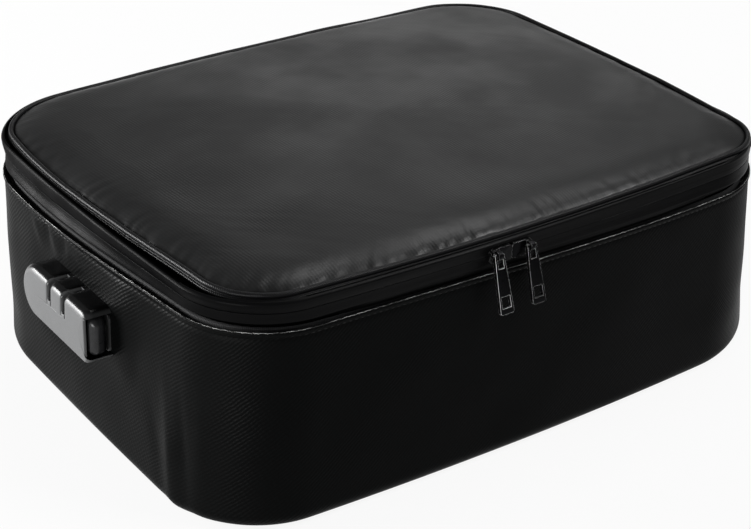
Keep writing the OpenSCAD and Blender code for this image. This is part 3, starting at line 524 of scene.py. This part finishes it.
high_out = np.concatenate((((0.0002, zip_line + 0.00002), (0.00035, zip_line + 0.0001), (0.0004, zip_line + 0.0003),
                            (0.0004, zip_line + 0.0014), (0.0003, zip_line + 0.0030)), roll_out,
                           ((-0.0020, fold - 0.0002), (-0.0025, fold - 0.0009), (-0.0029, fold - 0.0018),
                            (-0.0033, fold - 0.0027), (-0.0042, fold - 0.0031), (-0.0240, fold - 0.0031))))
high_in = np.concatenate((((-0.0240, fold - 0.0036), (-0.0044, fold - 0.0036), (-0.0037, fold - 0.0032),
                           (-0.0030, fold - 0.0020)), roll_in[::-1], ((-0.0009, zip_line + 0.0002),)))


def standing_off(x):
    """How far the tape stands off the hem, 0 to 1: at the case's left, and less at its right."""
    return np.clip((-0.10 - x) / 0.06, 0, 1), 0.6 * np.clip((x - 0.08) / 0.06, 0, 1)


def creased(section, depth, seed):
    """A section carried round the case, from the hem's line below to the roll's line above, with
    the tape's long shallow creases: the surface moves out and in by a ground that is stretched
    along the case, so they run with the zip. At the left and right the tape stands off the hem and
    its foot is tucked in below, which leaves a dark gap there. It is a little hollow along its
    middle, more so at the left."""
    section = np.asarray(section, float)
    lift = np.clip((section[:, 1] - 0.1065) / 0.0125, 0, 1)[:, None, None]
    line = low_line * (1 - lift) + roll_line * lift
    grid, facing = carried(line, section), level(outward(line))
    x, high = grid[..., 0], grid[..., 2]
    trough = (0.45 + 0.55 * np.clip((-0.12 - x) / 0.04, 0, 1)) * np.exp(-((high - 0.1128) / 0.0034) ** 2)
    at_left, at_right = standing_off(x)
    gap = 0.12 + 0.88 * at_left + at_right
    tucked = gap * np.clip((mouth + 0.0044 - high) / 0.0009, 0, 1) * np.clip((high - mouth + 0.003) / 0.003, 0, 1)
    moved = depth * drift(grid * (0.2, 0.2, 4.5), seed, 8, 0.03, 0.008) - 0.0032 * tucked - 0.0012 * trough
    return grid + facing * moved[..., None]


band_coat, cut, surface = finish("band_coat", (0.0016, 0.0016, 0.0017), 0.36, "cut", Specular_IOR_Level=0.045)
long_lines = cut.noise(1, 4, 0.6, stretch=(12, 1000, 1))
cloud = cut.noise(18, 3)
# Painted shade: over the left run, a dark matt diffuse replaces the glossy coat in patches.
painted_shade_left = cut.axis(0).between(0.02, 0.09) * (1 - cut.axis(0).between(0.26, 0.34)) \
    * cut.noise(24, 3).between(0.3, 0.7, 0.45, 0.75)
feed(cut, surface, long_lines + cut.noise(1500, 2) * 0.2, 0.00013,
     Base_Color=long_lines.mix((0.0008, 0.0008, 0.0009), (0.0026, 0.0026, 0.0027)),
     Roughness=cloud.between(0.3, 0.7, 0.32, 0.44))
matt = cut.node("BsdfDiffuse", {}, {"Color": (0.0012, 0.0012, 0.0013, 1)})
both = cut.node("MixShader", {}, {0: painted_shade_left, 1: Dye(cut.tree, surface.outputs[0]), 2: matt})
cut.tree.links.new(both.socket, cut.tree.nodes["Material Output"].inputs["Surface"])
# The woven edge is painted near black and has no gloss: painted shade for the gap over the hem and the inside of the
# roll.
shade_selvedge, cut, surface = finish("shade_selvedge", (0.0004, 0.0004, 0.0004), 0.95, "cut", Specular_IOR_Level=0.0)
weave = cut.axis(0).wave(0.0008) * cut.axis(1).wave(0.0008) * 0.5 + 0.5
feed(cut, surface, weave, 0.0001, Base_Color=weave.mix((0.0002, 0.0002, 0.0002), (0.0008, 0.0008, 0.0008)))


def banded(strip, line):
    """The tape's two faces: coated where it shows, and its woven edge, painted near black without gloss as painted
    shade, in the gap over the hem and inside the roll, told apart by the height and by the way in from the roll's line."""
    strip.data.materials.append(band_coat)
    strip.data.materials.append(shade_selvedge)
    middle = np.zeros(len(strip.data.polygons) * 3)
    strip.data.polygons.foreach_get("center", middle)
    x, y, z = middle.reshape(-1, 3).T
    gap = np.add(*standing_off(x))
    inside = np.array([np.min((line[:, 0] - a) ** 2 + (line[:, 1] - b) ** 2) for a, b in zip(x, y)]) ** 0.5
    low_edge = z < mouth + 0.0010 + 0.0032 * gap
    strip.data.polygons.foreach_set("material_index",
                                    (low_edge | ((z > fold - 0.0045) & (inside > 0.0019))).astype(np.int32))


columns, back_columns = len(mouth_line), slice(32, 113)
open_run = np.arange(back_columns.stop - 1, back_columns.start + columns + 1) % columns
for name, section, body, seed in (("band_lower", low_section, "case", 3),
                                  ("band_upper", np.concatenate((high_out, high_in)), "lid", 4)):
    strip = cloth_mesh(name, creased(section, 0.00022, seed)[:, open_run], close=(True, False), caps="left right")
    banded(strip, roll_line)
    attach(strip, body)
    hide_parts(body + "_zip_tape")

# The cloth hinge. Along the straight back the zip gives way to one strip of coated cloth, which
# bends where the lid turns.
hinge_section = np.concatenate((low_out[:-3], high_out[3:], high_in[:-1], (low_out - (tape, 0))[::-1][1:]))
following = np.roll(hinge_section, -1, axis=0)
hinge_section = np.concatenate([np.linspace(a, b, 3)[:-1] for a, b in zip(hinge_section, following)])
hinge_strip = cloth_mesh("hinge_strip", creased(hinge_section, 0.0002, 8)[:, back_columns], close=(True, False),
                         caps="left right")
banded(hinge_strip, roll_line)
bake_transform(hinge_strip)
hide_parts("hinge_cloth_case", "hinge_cloth_lid")

# The zip's coils. A nylon coil is woven into the edge of each tape, and its turns lock between
# those of the other. Moulded stops close both ends, where the hinge begins.
band_ring = np.concatenate((band_line, band_line[:1]))
length = measured(band_ring)
coil_run = length[back_columns.stop], length[-1] + length[back_columns.start - 1]
nylon = flecked("nylon", (0.02, 0.02, 0.021), 0.38, (1800, 2), 0.00003, (0.012, 0.012, 0.013), (0.03, 0.03, 0.031),
                slick=(0.3, 0.46))
for body, middle, late, lean in (("case", zip_line - 0.0012, 0.0, 0.35), ("lid", zip_line + 0.0012, 0.00065, -0.35)):
    at, place, way, facing = spaced(band_line, 0.0013, coil_run[0] + 0.002 + late, coil_run[1] - 0.002 + late)
    slanted = level(way * lean, 1.0) / np.hypot(1, lean)
    coil = beads(body + "_coil", level(place - facing * 0.0024, middle), slanted, level(facing), 0.0030, 0.00105,
                 rings=4)
    fitted(coil, nylon, body, "coil", body + "_zip_coil")
stop_at = np.array((coil_run[0] + 0.0006, coil_run[1] % length[-1] - 0.0006))
for body, low in (("case", -0.00135), ("lid", 0.00135)):
    stops = beads(body + "_stops", level(points_at(band_ring, length, stop_at) - (0, 0.0024), zip_line + low),
                  np.array(((0, 0, 1.0),) * 2), np.array(((0, 1.0, 0),) * 2), 0.0024, 0.0026, sides=8, rings=6)
    fitted(stops, nylon, body, "stop", body + "_zip_stops")


# The lid's lining and felt. The foil cloth is turned up round a thinner felt and sewn to the
# band's flange.
lining_rings = ((0.030, 0.1157), (0.0058, 0.1157), (0.0056, 0.1160), (0.0056, 0.1172), (0.0053, 0.1175),
                (0.0049, 0.1172), (0.0049, 0.1153), (0.0051, 0.1149), (0.0056, 0.1147), (0.030, 0.1147))
lid_lining = poured("lid_lining", band_line, lining_rings)
fitted(lid_lining, foil, "lid", "lining", "lid_liner")
felt_rings = ((0.030, 0.1158), (0.0066, 0.1158), (0.0062, 0.1162), (0.0062, 0.1172), (0.0068, 0.1176),
              (0.030, 0.1176))
lid_felt = poured("lid_felt", band_line, felt_rings)
fitted(lid_felt, felt_finish, "lid", "felt", "lid_insulation")

# The piping. A thin cord in coated cloth, its lip caught in the seam all round the lid's panel, and
# a second, thinner fold of the lip under it.
pipe_line = outline(0.1682, 0.1304, (0.0398, 0.0357, 0.0303, 0.0274), (0.0058, 0.0070, 0.0098, 0.0094), 0.72)
pipe_high, pipe_thick = 0.1214, 0.0015
turned = np.linspace(0, 2 * np.pi, 17)[:-1]
pipe_section = np.stack((pipe_thick * np.cos(turned), pipe_high + pipe_thick * np.sin(turned)), axis=1)
lip = np.array(((-0.0014, -0.0008), (-0.0060, -0.0010), (-0.0060, -0.0040), (0.0004, -0.0040), (0.0014, -0.0037),
                (0.0021, -0.0031), (0.0024, -0.0024), (0.0022, -0.0018), (0.0017, -0.0015), (0.0013, -0.0014)))
pipe_section = np.concatenate((pipe_section[:9], lip + (0, pipe_high), pipe_section[14:]))
pipe_grid = carried(pipe_line, pipe_section)
pipe_grid[..., 2] += 0.0003 * drift(pipe_grid, 21, 8, 0.09, 0.02)
piping = cloth_mesh("piping", pipe_grid, close=(True, True))
pipe_cloth, cut, surface = finish("pipe_cloth", (0.0030, 0.0030, 0.0032), 0.34, "cut", Specular_IOR_Level=0.10)
ridge = (cut.axis(0) + cut.axis(1) * 0.70028).wave(0.0011)
cloud = cut.noise(60, 2)
feed(cut, surface, ridge * 0.5 + cut.noise(1200, 2) * 0.4, 0.00006,
     Base_Color=ridge.between(-1, 1).mix((0.0018, 0.0018, 0.0020), (0.0052, 0.0052, 0.0056)),
     Roughness=cloud.between(0.3, 0.7, 0.30, 0.42))
fitted(piping, pipe_cloth, "lid", "piping", "lid_piping")


# The lid's panel. Coated twill is drawn over soft wadding and gathered a little into the piping
# seam, so it stands up crowned, with small puckers along its edge. A short cloth simulation lets
# it settle. The field is then evened out, as the wadding under it keeps it taut.
def spread(line, across, deep):
    """A square grid laid on a closed line: a point at (u, v) lies on the ring r = max(|u|, |v|), at
    the same share of a side's length as on the square. Returns r, the share of the whole line and
    the line's point there."""
    ring, corner_middles = np.concatenate((line, line)), [16, 128, 216, 328, 416]
    run = measured(ring)
    marks = run[corner_middles]
    u, v = np.meshgrid(np.linspace(-1, 1, across), np.linspace(-1, 1, deep))
    r = np.maximum(np.abs(u), np.abs(v))
    a, b = (u, v) / np.maximum(r, 1e-9)
    side = np.select((a > 1 - 1e-9, b > 1 - 1e-9, a < -1 + 1e-9), (3, 0, 1), 2)
    share = np.select((side == 3, side == 0, side == 1), ((b + 1) / 2, (1 - a) / 2, (1 - b) / 2), (a + 1) / 2)
    at = marks[side] + (marks[side + 1] - marks[side]) * share
    return r, at / run[len(line)], points_at(ring, run, at)


def crown(inwards, ring):
    """Height over the seam: a quick rise of 4.5 mm beside the piping, then a slow one of 4.6 mm to
    the middle, which is level."""
    return 0.0045 * (1 - np.exp(-inwards / 0.0052)) + 0.0046 * (1 - ring ** 2) * (1 + 0.35 * ring ** 2)


seam, half_deep = pipe_high - 0.0006, 0.145
ring, at, rim = spread(pipe_line + outward(pipe_line) * -0.0011, 260, 196)
inwards = (1 - ring) * half_deep
top = level(rim * ring[..., None], seam + crown(inwards, ring))
circle = np.stack((np.cos(at * 2 * np.pi), np.sin(at * 2 * np.pi), 0 * at), axis=-1) * 0.165
gather = np.abs(drift(circle, 12, 14, 0.015, 0.006)) * 1.6 - 0.6 + 0.4 * drift(circle, 13, 8, 0.05, 0.02)
reach_in = 0.0026 + 0.0014 * (1 + drift(circle, 17, 6, 0.09, 0.03))
x, y = top[..., 0], top[..., 1]
strong = (0.15 + 0.9 * np.exp(-((x + 0.085) / 0.075) ** 2) * (y < -0.06)
          + 0.7 * np.exp(-((y + 0.03) / 0.09) ** 2) * (x < -0.12)
          + 0.8 * np.exp(-((x - 0.010) / 0.010) ** 2) * (y < -0.08))
top[..., 2] += 0.0022 * gather * strong * np.exp(-inwards / reach_in) * (1 - np.exp(-inwards / 0.0015))
top[..., 2] += 0.0004 * drift(top, 31, 8, 0.17, 0.05) * np.clip(inwards / 0.03, 0, 1)
cover = cloth_mesh("lid_cover", top, close=(False, False), plan=True)
sewn = cover.vertex_groups.new(name="sewn")
sewn.add(np.flatnonzero(ring.ravel() > 0.999).tolist(), 1.0, "REPLACE")
drape = cover.modifiers.new("drape", "CLOTH")
taut = {"quality": 5, "mass": 0.3, "tension_stiffness": 12, "compression_stiffness": 12, "shear_stiffness": 6,
        "bending_stiffness": 2.0, "vertex_group_mass": "sewn", "use_pressure": True,
        "uniform_pressure_force": 1.5, "shrink_min": -0.003}
for setting, value in taut.items():
    setattr(drape.settings, setting, value)
drape.settings.effector_weights.gravity = 0
last_step, farthest = 12, 0.0010
drape.point_cache.frame_end = last_step
for step in range(1, last_step + 1):
    bpy.context.scene.frame_set(step)
risen = np.zeros(top.size)
cover.evaluated_get(bpy.context.evaluated_depsgraph_get()).data.vertices.foreach_get("co", risen)
bpy.context.scene.frame_set(1)
cover.modifiers.remove(drape)
moved = risen.reshape(top.shape) - top
even = moved.copy()
for _ in range(120):
    even[1:-1, 1:-1] = (even[:-2, 1:-1] + even[2:, 1:-1] + even[1:-1, :-2] + even[1:-1, 2:]) / 4
moved = even + (moved - even) * (0.05 + 0.55 * np.exp(-inwards / 0.009))[..., None]
far = np.linalg.norm(moved, axis=-1, keepdims=True)
top = top + moved * np.minimum(1, farthest / np.maximum(far, 1e-9))
cover.data.vertices.foreach_set("co", top.ravel())
cover.data.update()
thick = cover.modifiers.new("cloth", "SOLIDIFY")
thick.thickness, thick.offset = 0.0012, -1
lid_twill = twill("lid_twill", (0.0028, 0.0029, 0.0030), 0.42, (590, 37), 0.00005, Specular_IOR_Level=0.18,
                  Sheen_Weight=0.006)
fitted(cover, lid_twill, "lid", "shell_cloth", "lid_panel")

# The wadding under the panel: one closed pad with a flat underside, a little smaller all round.
rings = (np.linspace(1, 0, 13) ** 0.7)[:-1]
upper = rings[:, None, None] * pipe_line[None] * 0.965
pad_high = seam - 0.0026 + crown((1 - rings) * half_deep, rings) * 0.9 - 0.0006 * (rings > 0.99)
pad_grid = np.concatenate((level(upper[::-1], 0.1192), level(upper, pad_high[:, None])))
wadding = cloth_mesh("lid_wadding", pad_grid[:, ::4], caps="low high", plan=True)
wadding_felt = flecked("wadding", (0.62, 0.60, 0.54), 0.95, (700, 4, 0.7), 0.0006, (0.48, 0.46, 0.40),
                       (0.72, 0.70, 0.63))
fitted(wadding, wadding_felt, "lid", "wadding", "lid_padding")


# The sliders and pulls, cast in zinc and plated dark. Their tumbled edges are painted light, partly as wear of the
# plating and partly as painted highlights.
def shaded(mesh, angle):
    """Smooth faces, with a sharp edge wherever two of them meet at more than the angle."""
    mesh.polygons.foreach_set("use_smooth", np.ones(len(mesh.polygons), bool))
    mesh.set_sharp_from_angle(angle=np.radians(angle))


def eased(node, width, segments=2, angle=28):
    """A copy of a CAD solid: doubles merged, flat faces joined up, then every edge sharper than the angle rounded to
    the width. The new faces along the edges are marked 1 in a face attribute for plating wear and painted highlights,
    all others 0."""
    solid = bmesh.new()
    solid.from_mesh(frame["nodes"][node].data)
    edge_mark = solid.faces.layers.float.new("wear_and_highlight")
    bmesh.ops.remove_doubles(solid, verts=solid.verts, dist=2e-6)
    bmesh.ops.dissolve_limit(solid, angle_limit=np.radians(0.6), verts=solid.verts, edges=solid.edges)
    sharp = [e for e in solid.edges if len(e.link_faces) == 2 and e.calc_face_angle(0) > np.radians(angle)]
    rounded = bmesh.ops.bevel(solid, geom=sharp, offset=width, segments=segments, profile=0.6, affect="EDGES",
                              clamp_overlap=True)
    for face in rounded["faces"]:
        face[edge_mark] = 1.0
    bmesh.ops.triangulate(solid, faces=[f for f in solid.faces if len(f.verts) > 4])
    made = bpy.data.meshes.new(node + "_eased")
    solid.to_mesh(made)
    solid.free()
    shaded(made, 38)
    return placed(made.name, made)


plating, where, surface = finish("dark_plating", (0.03, 0.031, 0.034), 0.3, Metallic=1.0)
# The edge faces are painted light grey and made less metallic: partly wear of the plating, partly painted highlights.
wear_and_highlight = where.node("Attribute", {"attribute_name": "wear_and_highlight"}, {}, out="Fac")
scuff = where.noise(420, 4, 0.6)
bright = wear_and_highlight * (scuff * 0.9 + 0.45)
feed(where, surface, scuff, 0.00004, Base_Color=bright.mix((0.005, 0.0051, 0.0055), (0.80, 0.80, 0.81)),
     Metallic=wear_and_highlight.between(0.2, 0.8, 1.0, 0.35), Roughness=scuff.between(0.3, 0.7, 0.26, 0.40))
behaviour = frame["record"]["behaviour"]
for node, width in (("slider_left", 0.0003), ("slider_right", 0.0003), ("pull_left", 0.0006), ("pull_right", 0.0006)):
    body = next(body for body, nodes in behaviour["bodies"].items() if node in nodes)
    fitted(eased(node, width), plating, body, node.split("_")[0], node)


# The lock's housing. It is moulded in black ABS with soft edges, a fine matt grain on its face
# and a polished top. The pulls' two slots run over its upper edge, the number wheels show in
# three windows below, and its front end is open for the button.
tilt = np.arctan(lock_lean)


def on_bench(x, y, z):
    """From the lock's bench (along it to the front, up, and out from the wall) to the case."""
    return np.stack((lock_wall - z * np.cos(tilt) + y * np.sin(tilt), lock_side - x,
                     lock_high + z * np.sin(tilt) + y * np.cos(tilt)), axis=-1)


def arc(middle, radius, first, last, steps):
    """Points on a circle between two angles in degrees, and the directions to them."""
    bend = np.radians(np.linspace(first, last, steps))
    away = np.stack((np.cos(bend), np.sin(bend)), axis=1)
    return np.array(middle) + radius * away, away


lock_rear, lock_end, lock_low, lock_top, lock_out = -0.0384, 0.0362, -0.0139, 0.0151, 0.0143
front_rim, recess = 0.0330, 0.0073
middle, half = (lock_top + lock_low) / 2, (lock_top - lock_low) / 2
lips = [(at + side * (0.0016 + wide), sunk) for at in (0.0098, -0.0061) for side, wide, sunk in
        ((1, 0.0013, 0), (1, 0.0008, 0.0001), (1, 0.0004, 0.0004), (1, 0.0001, 0.0009), (1, -0.0001, -1),
         (1, -0.0007, -1), (1, -0.0016, -1), (-1, -0.0007, -1), (-1, -0.0001, -1), (-1, 0.0001, 0.0010),
         (-1, 0.0006, 0.0005), (-1, 0.0011, 0.0001), (-1, 0.0016, 0))]
top_x, sunk = np.array([(x, 0) for x in np.linspace(0.0285, 0.0140, 7)] + lips[:13]
                       + [(x, 0) for x in (0.0040, 0.0018, -0.0008)] + lips[13:]
                       + [(x, 0) for x in (-0.0120, -0.0160, -0.0200)]).T
wheels = (-0.0163, -0.0031, 0.0101)
panes = ((-0.0046, 0), (-0.00455, 1), (-0.0015, 1), (0.0015, 1), (0.00455, 1), (0.0046, 0))
low_x, holes = np.array([(-0.0225, 0)] + [(at + edge_at, hole) for at in wheels for edge_at, hole in panes]
                        + [(x, 0) for x in (0.017, 0.020, 0.023, 0.026, 0.028)]).T
parts = (arc((lock_end - 0.0050, lock_low + 0.0050), 0.0050, -90, -25, 9),
         (np.stack((np.full(13, front_rim), np.linspace(-0.0111, 0.0120, 13)), axis=1), np.tile((1.0, 0), (13, 1))),
         arc((lock_end - 0.0060, lock_top - 0.0060), 0.0060, 32, 90, 9),
         (np.stack((top_x, np.full(len(top_x), lock_top)), axis=1), np.tile((0, 1.0), (len(top_x), 1))),
         arc((lock_rear + half, middle), half, 90, 270, 29),
         (np.stack((low_x, np.full(len(low_x), lock_low)), axis=1), np.tile((0, -1.0), (len(low_x), 1))))
line, facing = (np.concatenate(group) for group in zip(*parts))
drop, window = np.zeros(len(line)), np.zeros(len(line), bool)
top_from = sum(len(points) for points, _ in parts[:3])
drop[top_from:top_from + len(sunk)] = sunk
window[-len(holes):] = holes > 0
mouth_end = line[:, 0] == front_rim
soft = np.where(mouth_end, 0.0012, 0.0031 + 0.0014 * facing[:, 1] + 0.0005 * facing[:, 0])
# Rows 0 to 4 climb the housing's side, rows 5 to 13 round its edge and the last 3 cover its face.
bend = np.linspace(0, np.pi / 2, 9)[:, None]
sunken, row = np.clip(drop, 0, None), np.arange(14)[:, None]
inset = np.concatenate((np.zeros((5, len(line))), soft * (1 - np.cos(bend)))) + sunken * (row > 0)
height = np.concatenate((np.array((0.0, 0.176, 0.178, 0.944, 0.946))[:, None] * (lock_out - soft),
                         lock_out - soft * (1 - np.sin(bend)))) - sunken * (row > 5)
across = line[:, 0] - facing[:, 0] * inset - recess * mouth_end * (row < 5)
upwards = line[:, 1] - facing[:, 1] * inset + 0.0045 * window * ((row > 1) & (row < 4))
share = np.array((0.44, 0.26, 0.10))[:, None]
across = np.concatenate((across, np.clip(line[:, 0], -0.022, 0.026) * (1 - share) + across[-1] * share))
upwards = np.concatenate((upwards, middle + (upwards[-1] - middle) * share))
height = np.concatenate((height, height[-1] + 0.0003 * (1 - share ** 2)))
cut_in = drop < 0
foot = upwards[14, np.flatnonzero(cut_in)[0] - 1] - 0.0012 * np.tile((0, 0.7, 1, 0.7, 0), 2)
down = np.array((lock_top, lock_top, lock_top, 0.0125, 0.0115, 0.0100, 0.0080))
path_high = np.concatenate((down[:, None] + 0 * foot, (foot + 0.0003)[None], np.tile(foot, (7, 1))))
path_out = np.array((0.0, 0.0018, *[0.0026] * 6, 0.0029, 0.0060, 0.0090, 0.0115, 0.0130, 0.0139, 0.0143))[:, None]
across[:, cut_in] = line[cut_in, 0]
upwards[:15, cut_in], height[:15, cut_in] = path_high, path_out
housing = cloth_mesh("lock_case", on_bench(across, upwards, height), caps="low high")
shaded(housing.data, 50)
lock_abs, where, surface = finish("lock_abs", (0.02, 0.0205, 0.0215), 0.36, Specular_IOR_Level=0.2)
towards = where.node("NewGeometry", {}, {}, out="Normal")
# Painted light: the base colour follows the way the surface faces. The face, turned out from the wall, is painted mid
# grey and the top near black. The rounds facing the rear, the front-up rounds and chamfers (strongest by the slots) and
# the surfaces facing the front get painted highlights. The face's fine grain and its matt roughness are its own.
face_and_painted_light = (0 - towards.axis(0)).between(0.66, 0.985)
aft, ahead, up = towards.axis(1), 0 - towards.axis(1), towards.axis(2)
painted_rim_highlights = (aft.between(0.15, 0.7) + (ahead * up).between(0.05, 0.55) * where.axis(1).between(-0.030, -0.020, 0.2, 0.7)) \
    * (1 - up.between(0.70, 0.92)) + ahead.between(0.1, 0.6) * (0 - up).between(-0.3, 0.1) * 0.7
face_and_painted_light = face_and_painted_light.node("Math", {"operation": "MAXIMUM"}, {0: face_and_painted_light, 1: painted_rim_highlights})
grain, cloud = where.noise(2600, 2), where.noise(60, 2)
feed(where, surface, grain * face_and_painted_light, 0.00005, Base_Color=face_and_painted_light.mix((0.0010, 0.0011, 0.0012), (0.078, 0.079, 0.080)),
     Roughness=face_and_painted_light * 0.20 + cloud.between(0.3, 0.7, 0.20, 0.27))
fitted(housing, lock_abs, "case", "lock_shell", "lock_housing")
dressed("lock_base_plate", lock_abs)

# The release button fills the housing's open front end, behind a dark groove on the face side. It
# is one convex, polished moulding.
ring_share = np.concatenate(((1.0, 1.0), np.cos(np.linspace(0, 0.94 * np.pi / 2, 16)[1:])))
bulge = np.concatenate(((0.0308, 0.0340), 0.0340 + 0.0031 * (1 - ring_share[2:] ** 3.2)))
pad = outline(0.0104, 0.0046, (0.0032, 0.0032, 0.0030, 0.0030), (0, 0, 0, 0))[::4]
ridge_at = np.clip(pad[:, 0], -0.0050, 0.0050)
ring_at = np.stack((ridge_at + (pad[:, 0] - ridge_at) * ring_share[:, None], pad[:, 1] * ring_share[:, None]), axis=-1)
button = cloth_mesh("lock_button", on_bench(np.broadcast_to(bulge[:, None], ring_at.shape[:2]),
                                            0.0005 - ring_at[..., 0], 0.0071 + ring_at[..., 1]), caps="low high")
shaded(button.data, 50)
button_abs = flecked("button_abs", (0.010, 0.0102, 0.0108), 0.30, (300, 3, 0.6), 0.00001, (0.004, 0.0041, 0.0044),
                     (0.010, 0.0102, 0.011), slick=(0.26, 0.36), Specular_IOR_Level=0.3)
fitted(button, button_abs, "release", "button", "release_button")

# Inside the lock. A pressed steel latch with a finger for each slot, a coil spring behind the
# button, moulded number wheels on plain sleeves, a turned shaft, and a zinc-plated plate and
# screws that clamp the lock through the wall.
steel, where, surface = finish("zinc_steel", (0.50, 0.51, 0.53), 0.32, Metallic=1.0)
drawn = where.noise(1, 3, 0.6, stretch=(900, 120, 900))
blot = where.noise(160, 3, 0.6)
feed(where, surface, drawn, 0.00002, Base_Color=blot.mix((0.34, 0.35, 0.37), (0.58, 0.59, 0.60)),
     Roughness=drawn.between(0.3, 0.7, 0.26, 0.42))
for node in ("latch_slide", "dial_shaft", "lock_back_plate", "lock_screws"):
    dressed(node, steel)
coil_end, coil_rear, spring_x, spring_z, coil_turns, half_wire = 0.00972, 0.01920, -0.1967, 0.0698, 6, 0.00025
t = np.linspace(0, 1, coil_turns * 22 + 1)
wound = 2 * np.pi * coil_turns * t
wire = np.linspace(0, 2 * np.pi, 9)[:-1]
reach_out = 0.0017 + half_wire * np.cos(wire)
spring = np.stack((spring_x + reach_out * np.cos(wound[:, None]),
                   (coil_end + (coil_rear - coil_end) * t)[:, None] + half_wire * np.sin(wire),
                   spring_z + reach_out * np.sin(wound[:, None])), axis=-1)
button_spring = cloth_mesh("spring_coil", spring, caps="low high")
fitted(button_spring, steel, "case", "spring_wire", "button_spring")
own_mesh(button_spring)
wheel = flecked("wheel_nylon", (0.012, 0.012, 0.013), 0.35, (1500, 3), 0.00003, (0.008, 0.008, 0.009),
                (0.018, 0.018, 0.019), slick=(0.28, 0.42))
side = np.array(((-0.0040, 0.0035), (-0.0040, 0.0061), (-0.0038, 0.0065), (-0.0034, 0.0067), (-0.0028, 0.0068),
                 (0.0028, 0.0068), (0.0034, 0.0067), (0.0038, 0.0065), (0.0040, 0.0061), (0.0040, 0.0035)))
spin = np.linspace(0, 2 * np.pi, 121)[:-1]
grip = 0.0004 * np.clip(np.cos(10 * spin + np.pi) * 3 - 2, 0, 1) * (np.abs(side[:, 1:] - 0.0066) < 0.0003)
for number in "123":
    hub = next(np.array(joint["pos_m"]) for joint in behaviour["joints"] if joint["child"] == "dial_" + number)
    rim_at = np.stack(((side[:, 1:] - grip) * np.sin(spin), side[:, :1] + 0 * spin,
                       (side[:, 1:] - grip) * np.cos(spin)), axis=-1)
    disc = cloth_mesh("number_wheel_" + number, hub + rim_at, close=(True, True))
    shaded(disc.data, 40)
    fitted(disc, wheel, "dial_" + number, "dial", "dial_wheel_" + number)
    dressed("dial_sleeve_" + number, steel)
